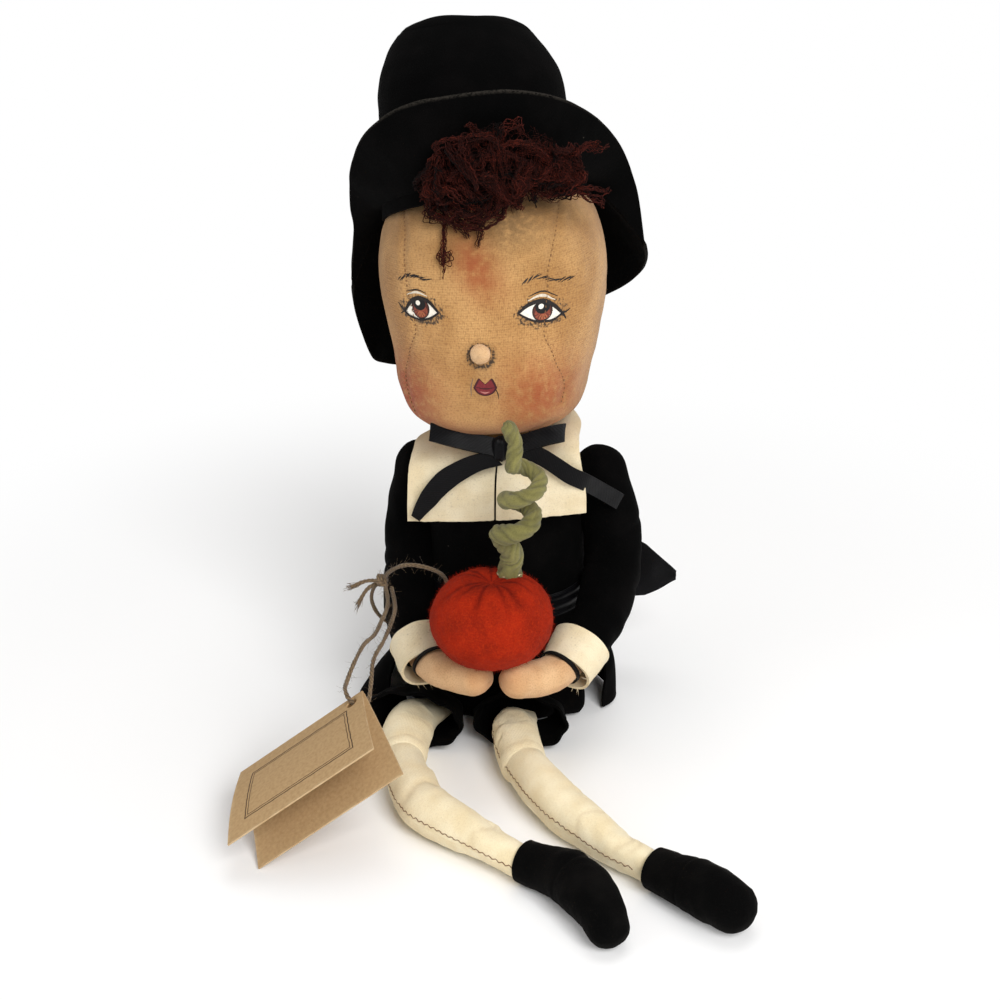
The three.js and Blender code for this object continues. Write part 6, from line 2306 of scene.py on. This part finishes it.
@dataclass
class Hat:
    """The black felt hat: a tall crown and a wide brim turned up at the front."""

    felt: float = 2.0
    slope: float = 0.09
    tilt: tuple[float, float] = (-22.0, -6.0)
    seat: Place = (-3.0, 12.0, 298.0)
    crown_foot: tuple[float, float] = (55.0, 61.0)
    crown_top: float = 48.0
    brim_reach: Place = (79.0, 88.0, 91.0)

    def placed(self, points: Array) -> Array:
        """Set the hat's own points on the leaned head."""
        tilted = turned(turned(points, "X", self.tilt[0]), "Y", self.tilt[1])
        return leaned(tilted + np.array(self.seat))

    def build(self) -> Piece:
        """Make the crown, its top and the brim, and return the brim."""
        rows, cols = 70, 140
        share = np.linspace(0, 1, rows)[:, None]
        turn = circle(cols)[None]
        pinch = 12.5 * np.clip((share - 0.6) / 0.4, 0, 1) ** 2.2
        wide = lerp(self.crown_foot[0], self.crown_top, share) - pinch - 0.3
        deep = lerp(self.crown_foot[1], self.crown_top, share) - pinch - 0.3
        level = lerp(-6.0, 85.0, share) - self.slope * wide * np.cos(turn) * ease(share, 0.4, 1.0)
        waist = np.where(np.cos(turn) > 0, bell(share, 0.5, 0.3), bell(share, 0.34, 0.2))
        crown = ovals(wide * (1 - 0.05 * waist * ease(share, 0.1, 0.24)), deep, level, turn)
        dent = 1.1 * ripple(crown, 46.0, 121) + 0.35 * ripple(crown, 14.0, 122)
        crown = raised(crown, dent * ease(share, 0.05, 0.3) * 0.8)
        piece = loft("hat_crown_felt", self.placed(crown), wall=self.felt)
        fit(piece, "head", "felt", "hat_crown")
        self.top()
        return self.brim()

    def top(self) -> None:
        """Make the crown's soft top, rolled over at its seam."""
        roll = (
            (25, 92.5), (27.8, 91.9), (30.2, 91), (32.3, 89.8), (34, 88.3), (35.3, 86.7), (36.1, 85),
            (36.4, 83.6),
        )
        middle = np.stack([np.linspace(3, 22, 10), np.linspace(93.0, 92.8, 10)], 1)
        radius, height = np.vstack([middle, roll]).T[..., None]
        disc = ovals(radius, radius, height, circle(120)[None])
        sag = 0.7 * ripple(disc, 26.0, 123) * ease(36.0 - radius, 0.0, 12.0)
        disc[..., 2] += sag - self.slope * disc[..., 0]
        under = disc[::-1].copy()
        under[..., 2] = np.minimum(under[..., 2] - 2.0, 83.6 - self.slope * under[..., 0])
        under[..., :2] *= 0.97
        whole = np.concatenate([disc, under])
        piece = loft("hat_top_felt", self.placed(whole), poles=SHUT)
        fit(piece, "head", "felt", "hat_top")

    def brim(self) -> Piece:
        """Make the brim, up at the front and down at the sides and back, and return it."""
        rows, cols = 44, 320
        v = np.linspace(0, 1, rows)[:, None]
        turn = circle(cols)[None]
        cos = np.cos(turn)
        sin = np.sin(turn)
        back = np.maximum(0, sin)
        front = np.maximum(0, -sin)
        left_front = (cos > 0) & (front > 0)
        boxy = np.where(left_front | ((cos < 0) & (back > 0)), 0.55, 0.85)
        across = np.sign(cos) * np.abs(cos) ** boxy
        reach = np.where(across < 0, 0.95 + 0.19 * ease(back - front, -0.35, 0.2), 1.0)
        aside, behind, before = self.brim_reach
        outer_x = aside * across * reach
        outer_y = behind * back - before * front + 23 * across**2
        droop = 34 * np.maximum(0, -across) * ease(back, 0, 0.4)
        drop = 36 + 24 * back + droop
        rise = front ** np.where(left_front, 0.38, 0.75) * 75 - drop
        brim = np.stack(
            [lerp(54.0 * cos, outer_x, v), lerp(59.4 * sin, outer_y, v), 1.4 + rise * v**1.4], -1
        )
        soft = (0.9 * ripple(brim, 40.0, 124) + 0.25 * ripple(brim, 12.0, 125)) * ease(v, 0.1, 0.6)
        brim = raised(brim, soft)
        piece = loft("hat_brim_felt", self.placed(brim), wall=self.felt, sharp=40)
        # the outer edge is painted lighter, most at the turned-up front, a painted highlight where the
        # felt's edge catches the light
        paint_share(piece, "edge", 0.24 * ease(v, 0.985, 1.0) * (0.35 + 0.65 * ease(front, 0.2, 0.6)))
        return fit(piece, "head", "felt", "hat_brim")


@dataclass
class Drape:
    """How far forward the head and the brim stand, on a grid, for the hair to lie on."""

    head: BVHTree
    brim: BVHTree
    corner: tuple[float, float] = (-66.0, 264.0)
    pitch: float = 3.0
    size: tuple[int, int] = (48, 36)

    def __post_init__(self) -> None:
        """Find the foremost surface at each place of the grid and smooth it."""
        wide, tall = self.size
        depth = np.full((tall, wide), -38.0)
        for row in range(tall):
            for col in range(wide):
                x = self.corner[0] + col * self.pitch
                z = self.corner[1] + row * self.pitch
                for ground in (self.head, self.brim):
                    hit = met(ground, x, z)[0]
                    if hit is not None:
                        depth[row, col] = min(depth[row, col], hit.y / MM)
        for blend in (np.min, np.mean, np.mean):
            depth = blend([np.roll(depth, (a, b), (0, 1)) for a in (-1, 0, 1) for b in (-1, 0, 1)], 0)
        self.depth = depth

    def front(self, x: Array, z: Array) -> Array:
        """Return how far forward the surface stands at some places."""
        col = np.clip((x - self.corner[0]) / self.pitch, 1, self.size[0] - 2.01)
        row = np.clip((z - self.corner[1]) / self.pitch, 1, self.size[1] - 2.01)
        c, r = col.astype(int), row.astype(int)
        low = lerp(self.depth[r, c], self.depth[r, c + 1], col - c)
        high = lerp(self.depth[r + 1, c], self.depth[r + 1, c + 1], col - c)
        return lerp(low, high, row - r)

    def outside(self, points: Array, off: float) -> Array:
        """Return points with those inside the head brought out of it."""
        made = points.copy()
        for n, point in enumerate(points):
            hit, normal, _, _ = self.head.find_nearest(Vector(point * MM))
            if (Vector(point * MM) - hit).dot(normal) < off * MM:
                made[n] = np.array(hit) / MM + np.array(normal) * off
        return made


def waved(core: Array, size: float, pitch: float, chance: np.random.Generator) -> Array:
    """Return a line with waves of a size and a pitch wound about it."""
    _, across, lift = frames(core + np.linspace(0, 1, len(core))[:, None] * 1e-3)
    phase = 2 * np.pi * run_of(core) / pitch + chance.uniform(0, 6)
    return core + (across * np.cos(phase)[:, None] + lift * 0.7 * np.sin(phase)[:, None]) * size


def crimp(core: Array, chance: np.random.Generator, fine: bool = False) -> Skin:
    """Curl one strand into the small waves of unravelled yarn, or leave a fine fibre nearly plain."""
    core = core + np.linspace(0, 1, len(core))[:, None] * 1e-3
    even = spline(core[::5], 12 if fine else 34)
    size = 0.5 if fine else chance.uniform(0.25, 0.7)
    curl = waved(even, size, chance.uniform(3.5, 6.5), chance)
    thick = 0.1 if fine else chance.uniform(0.2, 0.46)
    return hair_of(curl, thick, thick * 0.5, 3 if fine else 4)


@dataclass
class Tuft:
    """One mass of curly yarn along a line, with its half depths and half heights."""

    node: str
    path: Points
    widths: Sequence[float]
    heights: Sequence[float]
    clumps: int
    length: float
    seed: int
    loose: float = 0.3
    frizz: int = 240
    plies: int = 10
    wisps: Sequence[Points] = ()
    nape: bool = False

    def locks(self, drape: Drape, chance: np.random.Generator) -> list[tuple[Array, float, bool]]:
        """Return the middle line of each clump and of each fine fibre, its darkness and its kind."""
        steps = 80
        line = spline(self.path, steps)
        _, across, lift = frames(line, level=True)
        wide = spread(self.widths, steps)
        tall = spread(self.heights, steps)
        run = np.linspace(0, 1, 40)
        found = []
        for n in range(self.clumps + self.frizz):
            fine = n >= self.clumps
            start = chance.uniform(0.0, 1.0)
            heading = chance.normal() * (0.2 if fine else 0.9)
            wander = chance.normal() * (0.4 if fine else 1.0)
            depth = chance.uniform(0.2, 0.95) + self.loose * chance.uniform(-0.4, 1.0) * np.sin(np.pi * run)
            if fine:
                depth = 0.75 + chance.uniform(0.2, 1.0) * self.loose * run
            place = start + heading * (run - 0.5) * self.length / length_of(line)
            place = np.clip(place, 0.0, 1.0) * (steps - 1)
            low = np.minimum(place.astype(int), steps - 2)
            turn = chance.uniform(0, 2 * np.pi) + wander * run
            turn = turn + 0.5 * np.sin(2 * np.pi * run * chance.uniform(0.6, 1.6))
            half = np.interp(place, np.arange(steps), wide)
            side = half * depth * np.cos(turn)
            rise = np.interp(place, np.arange(steps), tall) * depth * np.sin(turn)
            core = lerp(line[low], line[low + 1], (place - low)[:, None]) + lift[low] * rise[:, None]
            if self.nape:
                core = drape.outside(core + across[low] * side[:, None], 1.4)
            else:
                core[:, 1] = drape.front(core[:, 0], core[:, 2]) - 1.6 - 0.62 * (half + side)
            # strands at the back of the tuft, towards the head, are darker, a painted shade, on top of a
            # random tone for each clump
            dark = np.clip(0.62 - 0.5 * np.mean(side / half) + chance.normal() * 0.3, 0.0, 0.95)
            found.append((core, dark, fine))
        for wisp in self.wisps:
            core = spline(wisp, 40)
            core[:, 1] = drape.front(core[:, 0], core[:, 2]) - np.linspace(7.0, 3.0, 40)
            found.append((core, 0.25, False))
        return found

    def curls(self, drape: Drape) -> tuple[list[Skin], list[float]]:
        """Return the tuft's strands, clumped into wavy locks with fine frizz, and their darkness."""
        chance = np.random.default_rng(self.seed)
        made = []
        tones = []
        for core, dark, fine in self.locks(drape, chance):
            if fine:
                made.append(crimp(core, chance, fine=True))
                tones.append(dark * 0.6)
                continue
            core = waved(core, chance.uniform(0.8, 2.0), chance.uniform(8.0, 15.0), chance)
            swell = np.sin(np.pi * np.linspace(0.06, 0.97, len(core)))[:, None] ** 0.6
            for _ in range(self.plies):
                made.append(crimp(core + chance.normal(size=3) * 1.15 * swell, chance))
                tones.append(float(np.clip(dark + chance.normal() * 0.2, 0.0, 1.0)))
        return made, tones


@dataclass
class Hair:
    """Dark auburn yarn hair under the hat's front, with one lock on the brow."""

    drape: Drape

    def build(self) -> None:
        """Make the front tufts, the hanging lock and the nape."""
        behind = ((-44, 38, 226), (-29, 51, 221), (0, 58, 219), (29, 51, 221), (44, 38, 226))
        nape = leaned(np.array(behind, float))
        tufts = (
            Tuft(
                "hair_left",
                ((2, -63, 333), (14, -63, 333), (26, -62, 330), (36, -57, 328), (43, -50, 326)),
                (10, 10.5, 10, 9, 6), (25, 23, 18, 13, 8), clumps=50, length=38, seed=131, loose=0.34,
                wisps=(
                    ((30, -58, 338), (42, -56, 341), (52, -52, 342), (59, -48, 341)),
                    ((30, -58, 336), (40, -56, 339), (48, -52, 343), (54, -48, 345)),
                    ((38, -58, 324), (46, -56, 321), (54, -52, 320), (59, -48, 322)),
                    ((38, -58, 322), (46, -56, 318), (52, -52, 314), (56, -48, 310)),
                ),
            ),
            Tuft(
                "hair_right",
                ((-35, -57, 313), (-26, -61, 317), (-14, -62, 322), (0, -63, 331), (8, -63, 333)),
                (6, 9, 10, 10.5, 10), (8, 16, 23, 26, 25), clumps=54, length=34, seed=132, loose=0.34,
                wisps=(
                    ((-9, -60, 312), (-8.5, -60, 303), (-7, -60, 296), (-8, -60, 290)),
                    ((-18, -60, 312), (-19, -60, 303), (-14, -60, 296), (-11, -60, 297)),
                    ((-22, -60, 312), (-24, -60, 305), (-21, -60, 299), (-17, -60, 298)),
                    ((-32, -60, 314), (-35, -60, 308), (-31, -60, 302), (-28, -60, 305)),
                    ((-2, -60, 346), (-7, -60, 352), (-11, -60, 354), (-14, -60, 355)),
                    ((2, -60, 346), (6, -60, 354), (12, -60, 355), (15, -60, 349)),
                ),
            ),
            Tuft(
                "hair_nape", nape, (6, 8, 8, 8, 6), (13, 18, 19, 18, 13), clumps=52, length=44, seed=133,
                loose=0.1, frizz=90, plies=7, nape=True,
            ),
        )
        for tuft in tufts:
            strands, tones = tuft.curls(self.drape)
            piece = gathered(tuft.node + "_yarn", strands, shares=tones)
            fit(piece, "head", "yarn", tuft.node)
        self.forelock()

    def forelock(self) -> None:
        """Make the one lock that hangs on the brow, with a twist near its end."""
        chance = np.random.default_rng(134)
        line = np.array(
            ((-25, 0, 314), (-26, 0, 303), (-25, 0, 293), (-25.4, 0, 285), (-24.5, 0, 271)), float
        )
        strands = []
        for n in range(15):
            drift = chance.normal(size=line.shape) * np.array((0.9, 0.0, 1.0))
            reach = spline(line + drift, 60)[: chance.integers(44, 60)]
            reach[:, 1] = self.drape.front(reach[:, 0], reach[:, 2]) - chance.uniform(0.9, 2.2)
            strands.append(crimp(reach, chance, n > 11))
        knot = np.array(
            ((0, 0, 285), (2.2, 0, 287.6), (3.6, 0, 284.6), (1.4, 0, 282.4), (-0.6, 0, 284)), float
        )
        for side in (-1, 1):
            for _ in range(4):
                loop = spline(knot * (side, 1, 1) + (-25.3, 0, 0) + chance.normal(size=(5, 3)) * 1.1, 60)
                loop[:, 1] = self.drape.front(loop[:, 0], loop[:, 2]) - chance.uniform(1.2, 2.4)
                strands.append(crimp(loop, chance))
        tones = chance.uniform(0.0, 0.35, len(strands))
        piece = gathered("hair_forelock_yarn", strands, shares=tones)
        fit(piece, "head", "yarn", "hair_forelock")


def legs() -> tuple[Leg, Leg]:
    """Return the two legs with their own lines."""
    left = Leg(
        Side.LEFT,
        thigh=((15, -41, 10), (12.5, -58, 12.6), (16, -78, 13.1), (23, -95, 12.8)),
        shin=(
            (24.4, -97.8, 12.8), (29.5, -107, 13), (38, -121, 13.1), (51, -139, 12.6),
            (66, -154.5, 11.8), (80, -167, 10.8), (101, -180, 10.6), (120, -194, 12.5),
        ),
        shoe=((101, -180, 10.8), (111, -187, 12), (124, -196.5, 14), (135, -205, 14.4), (141, -210, 14)),
        breeches=((16, -39, 12), (16.5, -53, 15.5), (16.5, -62, 17.2)),
        breeches_widths=(19, 25, 27),
        creases=((0.5, 60, 0.2), (0.68, 100, 0.45), (0.72, 120, 0.3)),
    )
    right = Leg(
        Side.RIGHT,
        thigh=((-32, -41, 10), (-44, -60, 12.6), (-45, -80, 13.1), (-43, -98, 12.8)),
        shin=(
            (-42.3, -101.2, 12.8), (-39, -112, 13), (-25, -144, 13.1), (-4, -161.5, 12.8),
            (16, -173.5, 12), (35, -183, 10.6), (52, -193, 11.5), (64, -204, 12.5),
        ),
        shoe=(
            (35, -183, 10.8), (44, -187.5, 11.4), (58, -196, 13.6), (70, -209, 14), (78, -222, 12.6),
            (82, -231, 11),
        ),
        breeches=((-37, -39, 12), (-42, -57, 15.5), (-44, -69, 17.6)),
        breeches_widths=(19, 26, 29.5),
        creases=((0.04, 90, 0.35), (0.31, 70, 0.75), (0.6, 80, 0.25)),
    )
    return left, right


def arms() -> tuple[Arm, Arm]:
    """Return the two arms with their own lines."""
    left = Arm(
        Side.LEFT,
        path=(
            (52, 0, 146), (60, -2, 113), (61, -9, 90), (57, -36, 73), (46, -60, 61), (33, -82, 61),
            (19, -92, 63),
        ),
        seed=141,
    )
    right = Arm(
        Side.RIGHT,
        path=(
            (-48, 0, 143), (-53, -2, 109), (-53, -9, 86), (-49.5, -36, 67), (-38, -61, 57),
            (-21, -83, 60), (-4.5, -91, 62.5),
        ),
        seed=151,
    )
    return left, right


def main() -> None:
    """Build the doll's looks in order."""
    logging.basicConfig(level=logging.INFO, format="%(message)s")
    Studio().build()
    for slot, cloth in CLOTHS.items():
        FINISHES[slot] = cloth.material()
    tag = Tag()
    tag.build_twine()
    tag.build_leaves()
    stitches = stitch_tree()
    fuzz = fuzz_tree()
    Torso().build()
    Coat().build()
    NeckBow().build()
    for leg in legs():
        leg.build(stitches)
    for arm in arms():
        arm.build(fuzz)
    Pumpkin().build(fuzz, stitches)
    head = Head().build(stitches)
    FacePaint(head).build()
    brim = Hat().build()
    Hair(Drape(surface_of(head), surface_of(brim))).build()


if __name__ == "__main__":
    main()
